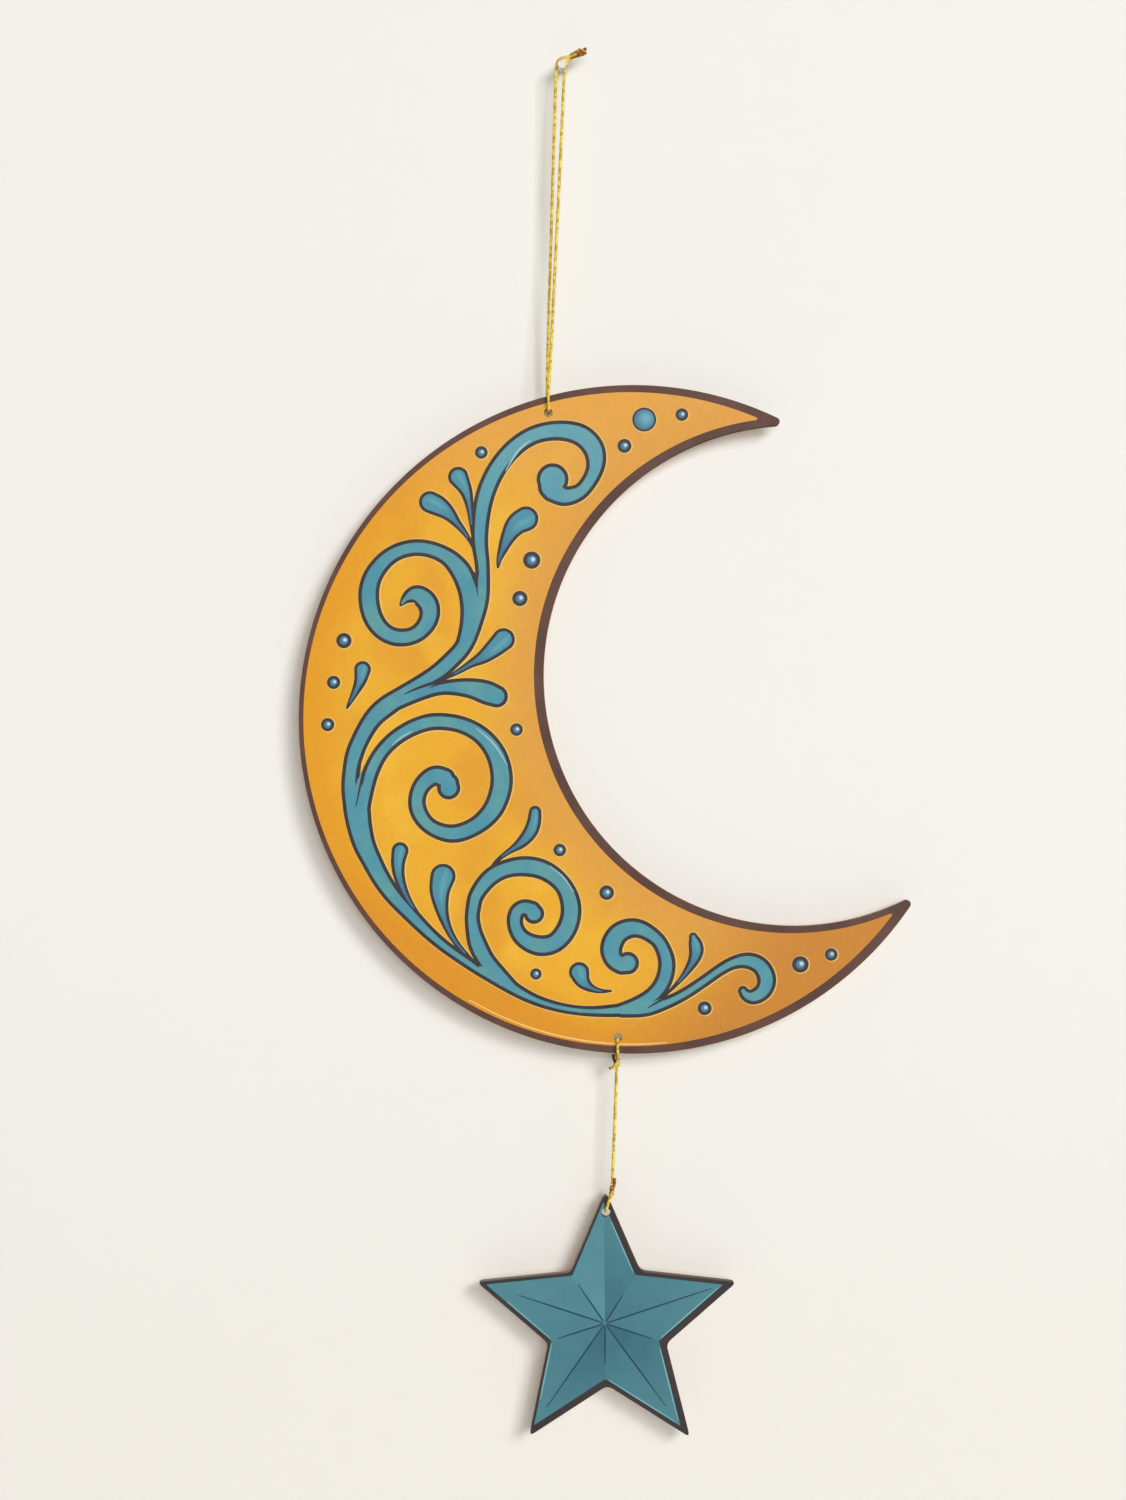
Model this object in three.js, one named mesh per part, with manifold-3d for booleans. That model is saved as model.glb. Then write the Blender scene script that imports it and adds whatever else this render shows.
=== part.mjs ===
// A hanging wall ornament: a flat crescent moon with printed scrollwork on a cord loop,
// and a small printed star that hangs below it on a short cord.
// Millimetres. X runs to the right, Z up, and the printed faces look along -Y.
// The origin is the top of the hanging loop, where a nail bears.
import * as THREE from "three";
import { mergeVertices } from "three/addons/utils/BufferGeometryUtils.js";
import Module from "manifold-3d";

const wasm = await Module();
wasm.setup();

// Boards
const BOARD_THICKNESS = 3;
const MOON_RIM_RADIUS = 100;
const MOON_BAY_RADIUS = 75;
const MOON_BAY_OFFSET = 50;
const MOON_BAY_TILT = 17.4;
const MOON_TIP_RADIUS = 1.2;
const STAR_TIP_DISTANCE = 40;
const STAR_NOTCH_DISTANCE = 18.5;
const STAR_CORNER_LENGTH = 1.8;
const STAR_LEAN = 2.8;

// Holes for the cords
const MOON_HOLE_DIAMETER = 2.6;
const MOON_HOLE_RIM_DISTANCE = 4.9;
const HANGER_HOLE_ANGLE = 107.65;
const LINK_HOLE_ANGLE = -90.5;
const STAR_HOLE_DIAMETER = 2.8;
const STAR_HOLE_HEIGHT = 33.5;

// Printed layers, from the board outwards
const BORDER_PRINT = 0.2;
const GROUND_PRINT = 0.2;
const LINE_PRINT = 0.25;
const TEAL_PRINT = 0.3;
const MOON_RIM_BORDER = 2.2;
const MOON_BAY_BORDER = 2.1;
const MOON_PRINT_SHIFT = [-0.8, 0];
const MOON_PRINT_TIP_RADIUS = 0.4;
const STAR_BORDER = 1.7;
const STAR_PRINT_SHIFT = [-0.7, 0.5];
const STAR_CREASE_WIDTH = 0.9;
const LINE_WIDTH = 1;
const DOT_LINE_WIDTH = 0.75;
const FINEST_INK = 0.15;

// Cords and how far things hang
const CORD_DIAMETER = 1;
const CORD_CLEARANCE = 0.35;
const HANGER_DROP = 105.8;
const LINK_KNOT_DROP = 7.9;
const STAR_KNOT_DROP = 45.6;
const STAR_DROP = 86.2;
const HANGER_KNOT_RADIUS = 1.4;
const SMALL_KNOT_RADIUS = 1.05;
const KNOT_TAIL_LENGTH = 2.4;

// How finely round outlines are cut into flats
const RIM_FLATS = 72;
const BAY_FLATS = 54;
const TIP_FLATS = 6;
const HOLE_FLATS = 20;
const SPOT_FLATS = 24;
const DOT_FLATS = 14;
const CORD_FLATS = 8;

// The sheet that the scrollwork was drawn on: a crescent of this size around the same centre
const DRAWN = { rim: 100, bay: 75, offset: 50 };

const radians = THREE.MathUtils.degToRad;
const cordRadius = CORD_DIAMETER / 2;
const boardFront = -BOARD_THICKNESS / 2;
const boardBack = BOARD_THICKNESS / 2;

function polar(angle, distance) {
  return [Math.cos(radians(angle)) * distance, Math.sin(radians(angle)) * distance];
}

// Where each board hangs
const hangerHole = polar(HANGER_HOLE_ANGLE, MOON_RIM_RADIUS - MOON_HOLE_RIM_DISTANCE);
const linkHole = polar(LINK_HOLE_ANGLE, MOON_RIM_RADIUS - MOON_HOLE_RIM_DISTANCE);
const moonCentre = [-hangerHole[0], -HANGER_DROP - hangerHole[1]];
const linkTop = [moonCentre[0] + linkHole[0], moonCentre[1] + linkHole[1]];
const starHole = polar(90 + STAR_LEAN, STAR_HOLE_HEIGHT);
const starCentre = [linkTop[0], linkTop[1] - STAR_DROP];
const starHolePlace = [starCentre[0] + starHole[0], starCentre[1] + starHole[1]];

// Finishes
function finish(color, roughness, metalness = 0) {
  return new THREE.MeshStandardMaterial({ color, roughness, metalness });
}
const finishes = {
  hardboard: finish("#5b3b30", 0.75),
  border: finish("#6b4a43", 0.5),
  amber: finish("#e7a83c", 0.45),
  line: finish("#3a3236", 0.5),
  teal: finish("#5399a6", 0.42),
  starBorder: finish("#3a3434", 0.5),
  starTeal: finish("#4b8795", 0.45),
  cord: finish("#d9ad35", 0.32, 0.85),
};

// The object, and what puts a piece in it
const ornament = new THREE.Group();

function addPiece(name, geometry, material, place = [0, 0, 0]) {
  const mesh = new THREE.Mesh(geometry, material);
  mesh.name = name;
  mesh.position.set(...place);
  ornament.add(mesh);
}

// A closed outline drawn in X and Z becomes a plate whose back lies on Y = 0
function plate(outline, thickness, holes = []) {
  const shape = new THREE.Shape(outline.map(([x, z]) => new THREE.Vector2(x, z)));
  for (const [centre, diameter] of holes) {
    const path = new THREE.Path();
    path.absarc(centre[0], centre[1], diameter / 2, 0, 2 * Math.PI, true);
    shape.holes.push(path);
  }
  const geometry = new THREE.ExtrudeGeometry(shape, {
    depth: thickness,
    bevelEnabled: false,
    curveSegments: HOLE_FLATS / 2,
  });
  return geometry.applyMatrix4(
    new THREE.Matrix4().set(1, 0, 0, 0, 0, 0, -1, 0, 0, 1, 0, 0, 0, 0, 0, 1),
  );
}

function toSolid(geometry) {
  const bare = geometry.clone();
  bare.deleteAttribute("normal");
  bare.deleteAttribute("uv");
  const merged = mergeVertices(bare, 1e-4);
  return new wasm.Manifold(
    new wasm.Mesh({
      numProp: 3,
      vertProperties: new Float32Array(merged.attributes.position.array),
      triVerts: new Uint32Array(merged.index.array),
    }),
  );
}

// The largest body of a solid, without the slivers that a join can leave beside it
function toGeometry(solid) {
  const bodies = solid.decompose();
  const body = bodies.reduce((best, other) => (other.volume() > best.volume() ? other : best));
  const mesh = body.getMesh();
  const geometry = new THREE.BufferGeometry();
  geometry.setAttribute("position", new THREE.BufferAttribute(mesh.vertProperties, 3));
  geometry.setIndex(new THREE.BufferAttribute(mesh.triVerts, 1));
  return geometry;
}

function joined(geometries) {
  return geometries.map(toSolid).reduce((whole, part) => whole.add(part));
}

function arc(centre, radius, from, to, steps) {
  return Array.from({ length: steps + 1 }, (_, i) => {
    const [x, z] = polar(from + ((to - from) * i) / steps, radius);
    return [centre[0] + x, centre[1] + z];
  });
}

function round(centre, radius, flats) {
  return arc(centre, radius, 0, 360 - 360 / flats, flats - 1);
}

// A crescent between a rim and a bay, whose two tips are rounded. It is drawn around the
// rim's centre, with the bay looking along the tilt.
function crescent(rim, bay, tip, shift = [0, 0]) {
  const [offset, tilt] = [MOON_BAY_OFFSET, MOON_BAY_TILT];
  const along = ((rim - tip) ** 2 - (bay + tip) ** 2 + offset ** 2) / (2 * offset);
  const across = Math.sqrt((rim - tip) ** 2 - along ** 2);
  const rimAngle = THREE.MathUtils.radToDeg(Math.atan2(across, along));
  const bayAngle = THREE.MathUtils.radToDeg(Math.atan2(across, along - offset));
  const bayCentre = polar(tilt, offset);
  const tips = [1, -1].map((side) => polar(tilt + side * rimAngle, rim - tip));
  const outline = [
    ...arc([0, 0], rim, tilt + rimAngle, tilt + 360 - rimAngle, RIM_FLATS),
    ...arc(tips[1], tip, tilt - rimAngle, tilt + 180 - bayAngle, TIP_FLATS),
    ...arc(bayCentre, bay, tilt + 360 - bayAngle, tilt + bayAngle, BAY_FLATS),
    ...arc(tips[0], tip, tilt + 180 + bayAngle, tilt + 360 + rimAngle, TIP_FLATS),
  ];
  return withoutRepeats(outline.map(([x, z]) => [x + shift[0], z + shift[1]]));
}

function withoutRepeats(outline) {
  const apart = (a, b) => Math.hypot(a[0] - b[0], a[1] - b[1]) > 1e-3;
  return outline.filter((spot, i) => apart(spot, outline[(i + 1) % outline.length]));
}

// How the star was cut, from the top tip round to the left: the degrees that each corner stands
// off its even place, and its share of the even distance from the centre
const starCut = [
  [0.1, 0.99], [-2.2, 1.025], [-0.8, 1.025], [-1, 0.995], [0.5, 1.015],
  [-0.1, 0.98], [-0.2, 1.045], [-0.3, 1.005], [-0.4, 1.02], [3.3, 1.015],
];

// The star's corners, from the top tip round to the left
function starCorners() {
  return starCut.map(([turn, reach], i) => {
    const distance = i % 2 ? STAR_NOTCH_DISTANCE : STAR_TIP_DISTANCE;
    return polar(90 + STAR_LEAN + 36 * i + turn, distance * reach);
  });
}

// How much smaller a star is whose edges all lie further in by the inset
function starScale(inset) {
  const [tip, notch] = starCorners();
  const edge = Math.hypot(tip[0] - notch[0], tip[1] - notch[1]);
  const edgeDistance = Math.abs(tip[0] * notch[1] - tip[1] * notch[0]) / edge;
  return (edgeDistance - inset) / edgeDistance;
}

// A five-pointed star whose corners are bent round
function star(inset, shift = [0, 0]) {
  const corners = starCorners();
  const scale = starScale(inset);
  const outline = corners.flatMap((corner, i) => {
    const towards = ([x, z]) => {
      const share = STAR_CORNER_LENGTH / Math.hypot(x - corner[0], z - corner[1]);
      return new THREE.Vector2(...corner).lerp(new THREE.Vector2(x, z), share);
    };
    const bend = new THREE.QuadraticBezierCurve(
      towards(corners[(i + 9) % 10]),
      new THREE.Vector2(...corner),
      towards(corners[(i + 1) % 10]),
    );
    return bend.getPoints(4);
  });
  return outline.map(({ x, y }) => [x * scale + shift[0], y * scale + shift[1]]);
}

// Distance from the rim's centre to the bay's edge, at an angle from the way the bay looks
function bayEdge(angle, bay, offset) {
  const ahead = offset * Math.cos(radians(angle));
  const aside = offset * Math.sin(radians(angle));
  return ahead + Math.sqrt(bay ** 2 - aside ** 2);
}

// Half the angle that a crescent's horns leave open
function hornAngle(rim, bay, offset) {
  const along = (rim ** 2 - bay ** 2 + offset ** 2) / (2 * offset);
  return THREE.MathUtils.radToDeg(Math.acos(along / rim));
}

// Moves a spot of the drawn crescent to the board's, at the same share of the way round
// from horn to horn and of the way in from rim to bay. The third number is how much larger
// the drawing is there.
function onMoon(x, z) {
  const from180 = THREE.MathUtils.radToDeg(Math.atan2(z, x)) - MOON_BAY_TILT - 180;
  const around = THREE.MathUtils.euclideanModulo(from180 + 180, 360) - 180;
  const drawnHorn = 180 - hornAngle(DRAWN.rim, DRAWN.bay, DRAWN.offset);
  const horn = 180 - hornAngle(MOON_RIM_RADIUS, MOON_BAY_RADIUS, MOON_BAY_OFFSET);
  const drawnBand = DRAWN.rim - bayEdge(180 + around, DRAWN.bay, DRAWN.offset);
  const drawnDistance = Math.hypot(x, z);
  const angle = 180 + (around * horn) / drawnHorn;
  const band = MOON_RIM_RADIUS - bayEdge(angle, MOON_BAY_RADIUS, MOON_BAY_OFFSET);
  const distance = MOON_RIM_RADIUS - ((DRAWN.rim - drawnDistance) * band) / drawnBand;
  const wayRound = (distance * horn) / (drawnDistance * drawnHorn);
  const larger = Math.sqrt((wayRound * band) / drawnBand);
  return [...polar(angle + MOON_BAY_TILT, distance), larger];
}

// A brush stroke is a list of spots [x, z, half-width] with a smooth spine through them.
// Its ends are round. An inset draws it thinner by that much on each side.
function strokeOutline(stroke, inset) {
  const spine = new THREE.CatmullRomCurve3(
    stroke.map(([x, z, half]) => {
      const [acrossX, upZ, larger] = onMoon(x, z);
      return new THREE.Vector3(acrossX, upZ, half * larger);
    }),
    false,
    "centripetal",
  );
  const spots = spine.getPoints((stroke.length - 1) * 2);
  const shown = spots.filter((spot) => spot.z - inset > FINEST_INK);
  const sides = shown.map((spot, i) => {
    const after = shown[Math.min(i + 1, shown.length - 1)];
    const before = shown[Math.max(i - 1, 0)];
    const heading = Math.atan2(after.y - before.y, after.x - before.x);
    return { at: [spot.x, spot.y], half: spot.z - inset, heading: (heading * 180) / Math.PI };
  });
  const side = (turn) => ({ at, half, heading }) => {
    const [x, z] = polar(heading + turn, half);
    return [at[0] + x, at[1] + z];
  };
  const cap = ({ at, half, heading }, turn) =>
    arc(at, half, heading + turn, heading + turn - 180, half > 1 ? 7 : 3).slice(1, -1);
  return [
    ...sides.map(side(90)),
    ...cap(sides.at(-1), 90),
    ...sides.toReversed().map(side(-90)),
    ...cap(sides[0], -90),
  ];
}

function strokePlate(stroke, inset, thickness) {
  return plate(strokeOutline(stroke, inset).reverse(), thickness);
}

function spotPlate([x, z, radius], inset, thickness) {
  const [acrossX, upZ, larger] = onMoon(x, z);
  return plate(round([acrossX, upZ], radius * larger - inset, SPOT_FLATS), thickness);
}

// Scrollwork, in millimetres on the drawn sheet, measured to the outside of the dark line.
// The stems and volutes grow out of each other.
const scroll = {
  crownVolute: [
    [-48.8, 32, 3.2], [-47.6, 40, 3], [-47.3, 45, 2.6], [-47.9, 50, 2.55], [-47.9, 57, 2.7],
    [-46.9, 65, 2.9], [-43.8, 73, 2.93], [-38.6, 79.9, 2.85], [-32.4, 84.1, 2.85],
    [-25, 85.5, 3.05], [-18.7, 84.3, 3.4], [-15, 80.7, 3.4], [-14, 76.8, 3.05],
    [-14.7, 72.9, 2.6], [-17.7, 68, 2.5], [-20.4, 66.4, 2.8], [-23.5, 65.9, 3.1],
    [-26.6, 67.6, 3.8],
  ],
  upperVolute: [
    [-49.4, 30, 3.6], [-50.9, 36, 2.7], [-52.9, 41.9, 2.85], [-57.8, 46.8, 2.7],
    [-66, 49, 2.55], [-73.9, 46.6, 2.6], [-79.3, 40.2, 2.95], [-80.5, 34, 3.15],
    [-78.8, 27.1, 3.1], [-75.1, 23, 2.85], [-70.6, 21.7, 2.75], [-65.6, 23, 2.7],
    [-62.4, 26.9, 3], [-62, 30.5, 3.2], [-63.3, 33.2, 3.3], [-66.3, 34.9, 2.9],
    [-69, 33.7, 1.8], [-70.6, 31.7, 0.6],
  ],
  mainStem: [
    [-48.6, 33, 3.9], [-48.75, 30, 3.75], [-49.6, 25, 3.3], [-51.3, 19.5, 2.9],
    [-54.9, 15.6, 2.9], [-58.9, 11.8, 2.75], [-64, 8.5, 2.4], [-69.7, 4.1, 3.05],
    [-74.2, 0.8, 3.3], [-77.9, -2.9, 3], [-81.3, -9.3, 2.8], [-82.9, -13.8, 2.8],
    [-83.7, -18.7, 2.6], [-83.7, -24, 2.8], [-81.7, -29, 4.1], [-80.8, -34, 3.9],
    [-79, -40.3, 3.5], [-76.8, -44.6, 3.2], [-73.5, -50.4, 2.95], [-69.7, -55.4, 2.7],
    [-64.2, -60.9, 2.4], [-59, -65.8, 2.1], [-54, -69.8, 1.9], [-49.3, -72.9, 1.85],
    [-44.2, -76, 1.85], [-36.6, -79.5, 2.4], [-28.9, -83.8, 1.85], [-20, -86.7, 1.55],
    [-10, -87.8, 1.55], [0, -87, 2.1], [7, -86.2, 2.1],
  ],
  longLeaf: [
    [-72, 1.6, 2.4], [-69, 3.3, 2.5], [-63, 5.4, 2], [-58, 7.1, 2.1], [-53, 7.6, 2.6],
    [-48, 7.3, 3.2], [-44, 6.3, 3.7], [-41, 5.3, 3.4],
  ],
  largeVolute: [
    [-80.4, -33, 3], [-79.6, -28.8, 2.3], [-78.8, -23.5, 2.4], [-77.6, -18.3, 2.5],
    [-74.8, -12.6, 2.4], [-69.6, -7.3, 2.5], [-62, -3.4, 2.6], [-56, -2.85, 2.6],
    [-49.8, -4, 2.65], [-44.4, -7.1, 2.85], [-40.2, -12.5, 3.2], [-38.5, -19.3, 3.4],
    [-39.2, -24.5, 3.35], [-41.2, -29.2, 3.2], [-45.9, -33.8, 2.85], [-52.8, -36.4, 2.8],
    [-59.6, -34.3, 2.5], [-62.9, -30.3, 2.7], [-63.7, -26.4, 2.65], [-62.3, -22, 2.8],
    [-58.6, -19, 3.1], [-55.6, -19.8, 3.3],
  ],
  ringVolute: [
    [-40.2, -78, 2.4], [-41.3, -75, 2.3], [-44.2, -69.7, 2.25], [-45.4, -65.4, 2.25],
    [-45.9, -61.2, 2.25], [-45.5, -57.6, 2.35], [-44.9, -54.5, 2.45], [-41, -48.9, 2.8],
    [-36.2, -46.1, 2.8], [-30.3, -45.1, 3.1], [-24.4, -46.2, 3.05], [-19, -50.3, 2.8],
    [-16.6, -55.3, 3.1], [-16.4, -60, 3.15], [-18, -64.5, 3.2], [-21.3, -68, 3.1],
    [-26, -68.7, 3.15], [-30.8, -66.5, 2.7], [-32.7, -63.4, 2.5], [-33, -60.8, 2.5],
    [-32.3, -58.6, 2.5], [-30.3, -57.5, 2.6], [-28, -58.2, 2.9],
  ],
  footVolute: [
    [-2, -87, 1.6], [3, -85.7, 2.3], [8.6, -82.7, 2.6], [11.9, -78.4, 2.65],
    [13, -72.5, 2.65], [11.1, -67.3, 2.4], [9, -64.9, 2.45], [3.5, -62.2, 2.9],
    [-1.8, -63.9, 3.3], [-4, -68.6, 3.4], [-2.9, -72.1, 3.1], [-0.6, -73.4, 3.1],
  ],
  footHook: [
    [0, -87.2, 2.1], [7, -86.8, 2], [12.5, -84.7, 1.8], [17.9, -81.9, 1.65],
    [24, -77.6, 1.6], [29.5, -73.4, 1.7], [33.5, -71.3, 2], [37.6, -70.8, 2.6],
    [41.1, -72.4, 2.8], [43, -76.2, 2.9], [42, -79.7, 2.7], [39, -81.6, 2.4],
    [36.3, -81, 1.8], [34.9, -79.6, 0.9],
  ],
};
const volutePips = {
  crownVolute: [-26.8, 70.8, 4.8],
  largeVolute: [-54.3, -22.6, 3.5],
  ringVolute: [-27.4, -59.2, 3.1],
  footVolute: [1.2, -72.9, 3.4],
};

// Teardrops that grow out of the scrollwork, head first
const buds = {
  bud_crown_upper: [
    [-55, 70.4, 3.1], [-52.6, 66.5, 2], [-51.5, 62.8, 1.35], [-50.9, 59.3, 0.95],
    [-50.3, 55, 0.6], [-49.6, 50.5, 0.3],
  ],
  bud_crown_lower: [
    [-63.2, 62.6, 3.3], [-60.4, 61.4, 3.1], [-57.5, 59.4, 2.25], [-55.1, 56.8, 1.4],
    [-52.6, 54, 0.9], [-50.4, 51, 0.6], [-49.1, 47.5, 0.3],
  ],
  bud_waist: [
    [-39.6, 22.4, 3.4], [-42.4, 19.6, 2.85], [-45.5, 16.9, 2.1], [-49, 14.8, 1.25],
    [-53, 12.1, 0.8], [-57.5, 9.5, 0.3],
  ],
  bud_left_small: [
    [-68.1, -41.9, 2.55], [-68.6, -45.4, 2.15], [-68.2, -49.3, 1.75], [-66.8, -53.3, 1.35],
    [-64.6, -57.3, 0.95], [-62.2, -60.2, 0.5],
  ],
  bud_left_large: [
    [-55, -49.1, 3.8], [-55.8, -53, 3.2], [-55.4, -57, 2.4], [-54.4, -61, 1.7],
    [-52.7, -65, 1.2], [-50.3, -68.8, 0.95], [-47, -72.3, 0.7], [-43.5, -75.6, 0.3],
  ],
  bud_ring: [
    [-28.2, -28.8, 1.9], [-28.4, -31.9, 2.15], [-29.4, -34.9, 2.2], [-32.1, -38.3, 1.7],
    [-34.6, -40.2, 1.05], [-37, -42, 0.75], [-39.4, -44.2, 0.6], [-41, -46.6, 0.5],
  ],
  bud_foot: [
    [20.4, -63.8, 0.9], [21.2, -65.9, 2.1], [21.6, -68.3, 2.25], [21, -71, 1.8],
    [19.4, -74, 1.35], [17.4, -77, 1], [15, -79.8, 0.75], [12.5, -82.4, 0.5],
  ],
};

// Teardrops that stand alone
const drops = {
  drop_upper: [
    [-34.3, 58.7, 3.75], [-36.9, 57.1, 3.4], [-39.2, 53.6, 2.4], [-40.9, 49.2, 1.5],
    [-41.9, 46, 0.8], [-42.1, 43.9, 0.4],
  ],
  drop_left: [
    [-81.4, 11.8, 2.55], [-81.9, 8.5, 1.9], [-83.3, 5, 1.2], [-84.8, 1.8, 0.7],
    [-85.6, 0.1, 0.35],
  ],
  drop_lower: [
    [-13.2, -76.2, 3.1], [-12, -78.9, 2.3], [-9.5, -80.8, 1.25], [-6.3, -81.6, 0.7],
    [-3.5, -81.4, 0.35],
  ],
};

// Dark creases that part one stem from the next, widest first
const creases = [
  [[-49.4, 43, 0.7], [-48.7, 39.5, 0.5], [-48.2, 36, 0.15]],
  [[-56.6, 9.7, 0.5], [-60.9, 8.3, 0.45], [-65, 6.7, 0.35], [-68.6, 4.9, 0.12]],
  [[-80.9, -16.6, 0.6], [-81.3, -18.6, 0.4], [-81.4, -20.6, 0.15]],
  [[-79.7, -17.4, 0.65], [-81, -22.6, 0.45], [-81.9, -28.8, 0.12]],
  [[-46.5, -72.7, 0.6], [-44.7, -74.5, 0.45], [-43.3, -75.8, 0.15]],
  [[13.6, -82.4, 0.65], [10.7, -84.1, 0.45], [7.8, -86, 0.12]],
];

// Round spots, from the upper horn down and round to the lower horn
const dots = [
  [11.1, 91.6, 1.9], [-0.1, 89.7, 3.6], [-5.7, 81.6, 2.1], [-48.4, 78, 1.9],
  [-32.1, 46.4, 2.6], [-35.2, 34.8, 2.3], [-87.3, 20.2, 2.3], [-89.9, 7.6, 2],
  [-91.2, -5.1, 2], [-34.7, -4.4, 1.9], [-20.4, -39.9, 1.9], [-5.9, -52.1, 2.2],
  [-26.1, -77.2, 1.7], [24.7, -85.5, 2.1], [52.8, -71.3, 2.5], [61.9, -68, 1.9],
];

// Shadow creases on the star's face run out from its centre to this share of the way to
// each corner, from the top tip round to the left. The top arm has none.
const starCreases = [0, 0.82, 0.72, 0.88, 0.82, 0.73, 0.8, 0.87, 0.9, 0.58];

// How high each layer's back lies
const borderBack = boardFront;
const groundBack = borderBack - BORDER_PRINT;
const lineBack = groundBack - GROUND_PRINT;
const tealBack = lineBack - LINE_PRINT;
const faceFront = groundBack - GROUND_PRINT;

function onMoonAt(y) {
  return [moonCentre[0], y, moonCentre[1]];
}

function buildMoon() {
  const holes = [[hangerHole, MOON_HOLE_DIAMETER], [linkHole, MOON_HOLE_DIAMETER]];
  const outline = crescent(MOON_RIM_RADIUS, MOON_BAY_RADIUS, MOON_TIP_RADIUS);
  addPiece("moon_board", plate(outline, BOARD_THICKNESS, holes), finishes.hardboard,
    onMoonAt(boardBack));
  addPiece("moon_border_print", plate(outline, BORDER_PRINT, holes), finishes.border,
    onMoonAt(borderBack));
  const ground = crescent(
    MOON_RIM_RADIUS - MOON_RIM_BORDER,
    MOON_BAY_RADIUS + MOON_BAY_BORDER,
    MOON_PRINT_TIP_RADIUS,
    MOON_PRINT_SHIFT,
  );
  addPiece("moon_ground_print", plate(ground, GROUND_PRINT, holes), finishes.amber,
    onMoonAt(groundBack));
}

function buildScrollwork() {
  const grown = [...Object.values(scroll), ...Object.values(buds)];
  const lines = joined([
    ...grown.map((stroke) => strokePlate(stroke, 0, LINE_PRINT)),
    ...Object.values(volutePips).map((spot) => spotPlate(spot, 0, LINE_PRINT)),
  ]);
  addPiece("scroll_line_print", toGeometry(lines), finishes.line, onMoonAt(lineBack));

  const inset = LINE_WIDTH;
  const stems = joined([
    ...Object.values(scroll).map((stroke) => strokePlate(stroke, inset, TEAL_PRINT)),
    ...Object.values(volutePips).map((spot) => spotPlate(spot, inset, TEAL_PRINT)),
  ]);
  const grooves = joined(creases.map((stroke) => strokePlate(stroke, 0, TEAL_PRINT)));
  addPiece("scroll_teal_print", toGeometry(stems.subtract(grooves)), finishes.teal,
    onMoonAt(tealBack));

  for (const [name, stroke] of Object.entries(buds)) {
    const leaf = toSolid(strokePlate(stroke, inset, TEAL_PRINT)).subtract(stems);
    addPiece(name, toGeometry(leaf), finishes.teal, onMoonAt(tealBack));
  }
}

// A lone teardrop or spot is a dark plate with a smaller teal one on it, in one piece
function buildLoneInk() {
  const height = LINE_PRINT + TEAL_PRINT;
  for (const [name, stroke] of Object.entries(drops)) {
    const ink = joined([
      strokePlate(stroke, 0, LINE_PRINT),
      strokePlate(stroke, LINE_WIDTH, height),
    ]);
    addPiece(name, toGeometry(ink), finishes.teal, onMoonAt(lineBack));
  }
  dots.forEach(([x, z, radius], i) => {
    const [acrossX, upZ, larger] = onMoon(x, z);
    const across = radius * larger;
    const middle = across - DOT_LINE_WIDTH;
    const profile = [
      [0, -height], [middle, -height], [middle, -LINE_PRINT],
      [across, -LINE_PRINT], [across, 0], [0, 0],
    ];
    const geometry = new THREE.LatheGeometry(
      profile.map(([r, y]) => new THREE.Vector2(r, y)),
      DOT_FLATS,
    );
    addPiece(`dot_${String(i + 1).padStart(2, "0")}`, geometry, finishes.teal,
      [moonCentre[0] + acrossX, lineBack, moonCentre[1] + upZ]);
  });
}

function buildStar() {
  const holes = [[starHole, STAR_HOLE_DIAMETER]];
  const at = (y) => [starCentre[0], y, starCentre[1]];
  addPiece("star_board", plate(star(0), BOARD_THICKNESS, holes), finishes.hardboard,
    at(boardBack));
  addPiece("star_border_print", plate(star(0), BORDER_PRINT, holes), finishes.starBorder,
    at(borderBack));
  const face = toSolid(plate(star(STAR_BORDER, STAR_PRINT_SHIFT), GROUND_PRINT));
  const punch = toSolid(plate(round(starHole, STAR_HOLE_DIAMETER / 2, HOLE_FLATS), GROUND_PRINT));
  const scale = starScale(STAR_BORDER);
  const centre = new THREE.Vector2(...STAR_PRINT_SHIFT);
  const grooves = starCorners().flatMap(([x, z], i) => {
    if (starCreases[i] === 0) return [];
    const way = new THREE.Vector2(x, z).multiplyScalar(scale * starCreases[i]);
    const aside = new THREE.Vector2(-z, x).setLength(STAR_CREASE_WIDTH / 2);
    const spots = [centre.clone().sub(aside), centre.clone().add(way), centre.clone().add(aside)];
    return [plate(spots.map((spot) => [spot.x, spot.y]), GROUND_PRINT)];
  });
  const inked = face.subtract(punch).subtract(joined(grooves));
  addPiece("star_face_print", toGeometry(inked), finishes.starTeal, at(groundBack));
}

// A cord's tube follows its spots closely where they lie close together
class CordLine extends THREE.CatmullRomCurve3 {
  getPointAt(share, target) {
    return this.getPoint(share, target);
  }

  getTangentAt(share, target) {
    return this.getTangent(share, target);
  }
}

function tube(spots, stepsPerSpot) {
  const line = new CordLine(spots.map((spot) => new THREE.Vector3(...spot)));
  const section = new THREE.Shape(
    round([0, 0], cordRadius, CORD_FLATS).map(([x, y]) => new THREE.Vector2(x, y)),
  );
  return new THREE.ExtrudeGeometry(section, {
    steps: (spots.length - 1) * stepsPerSpot,
    extrudePath: line,
    bevelEnabled: false,
  });
}

// How far in front of and behind the boards a cord lies
const cordFront = faceFront - CORD_CLEARANCE - cordRadius;
const cordBack = boardBack + CORD_CLEARANCE + cordRadius;
const hangerBight = -HANGER_DROP + MOON_HOLE_DIAMETER / 2 - CORD_CLEARANCE - cordRadius;

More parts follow.
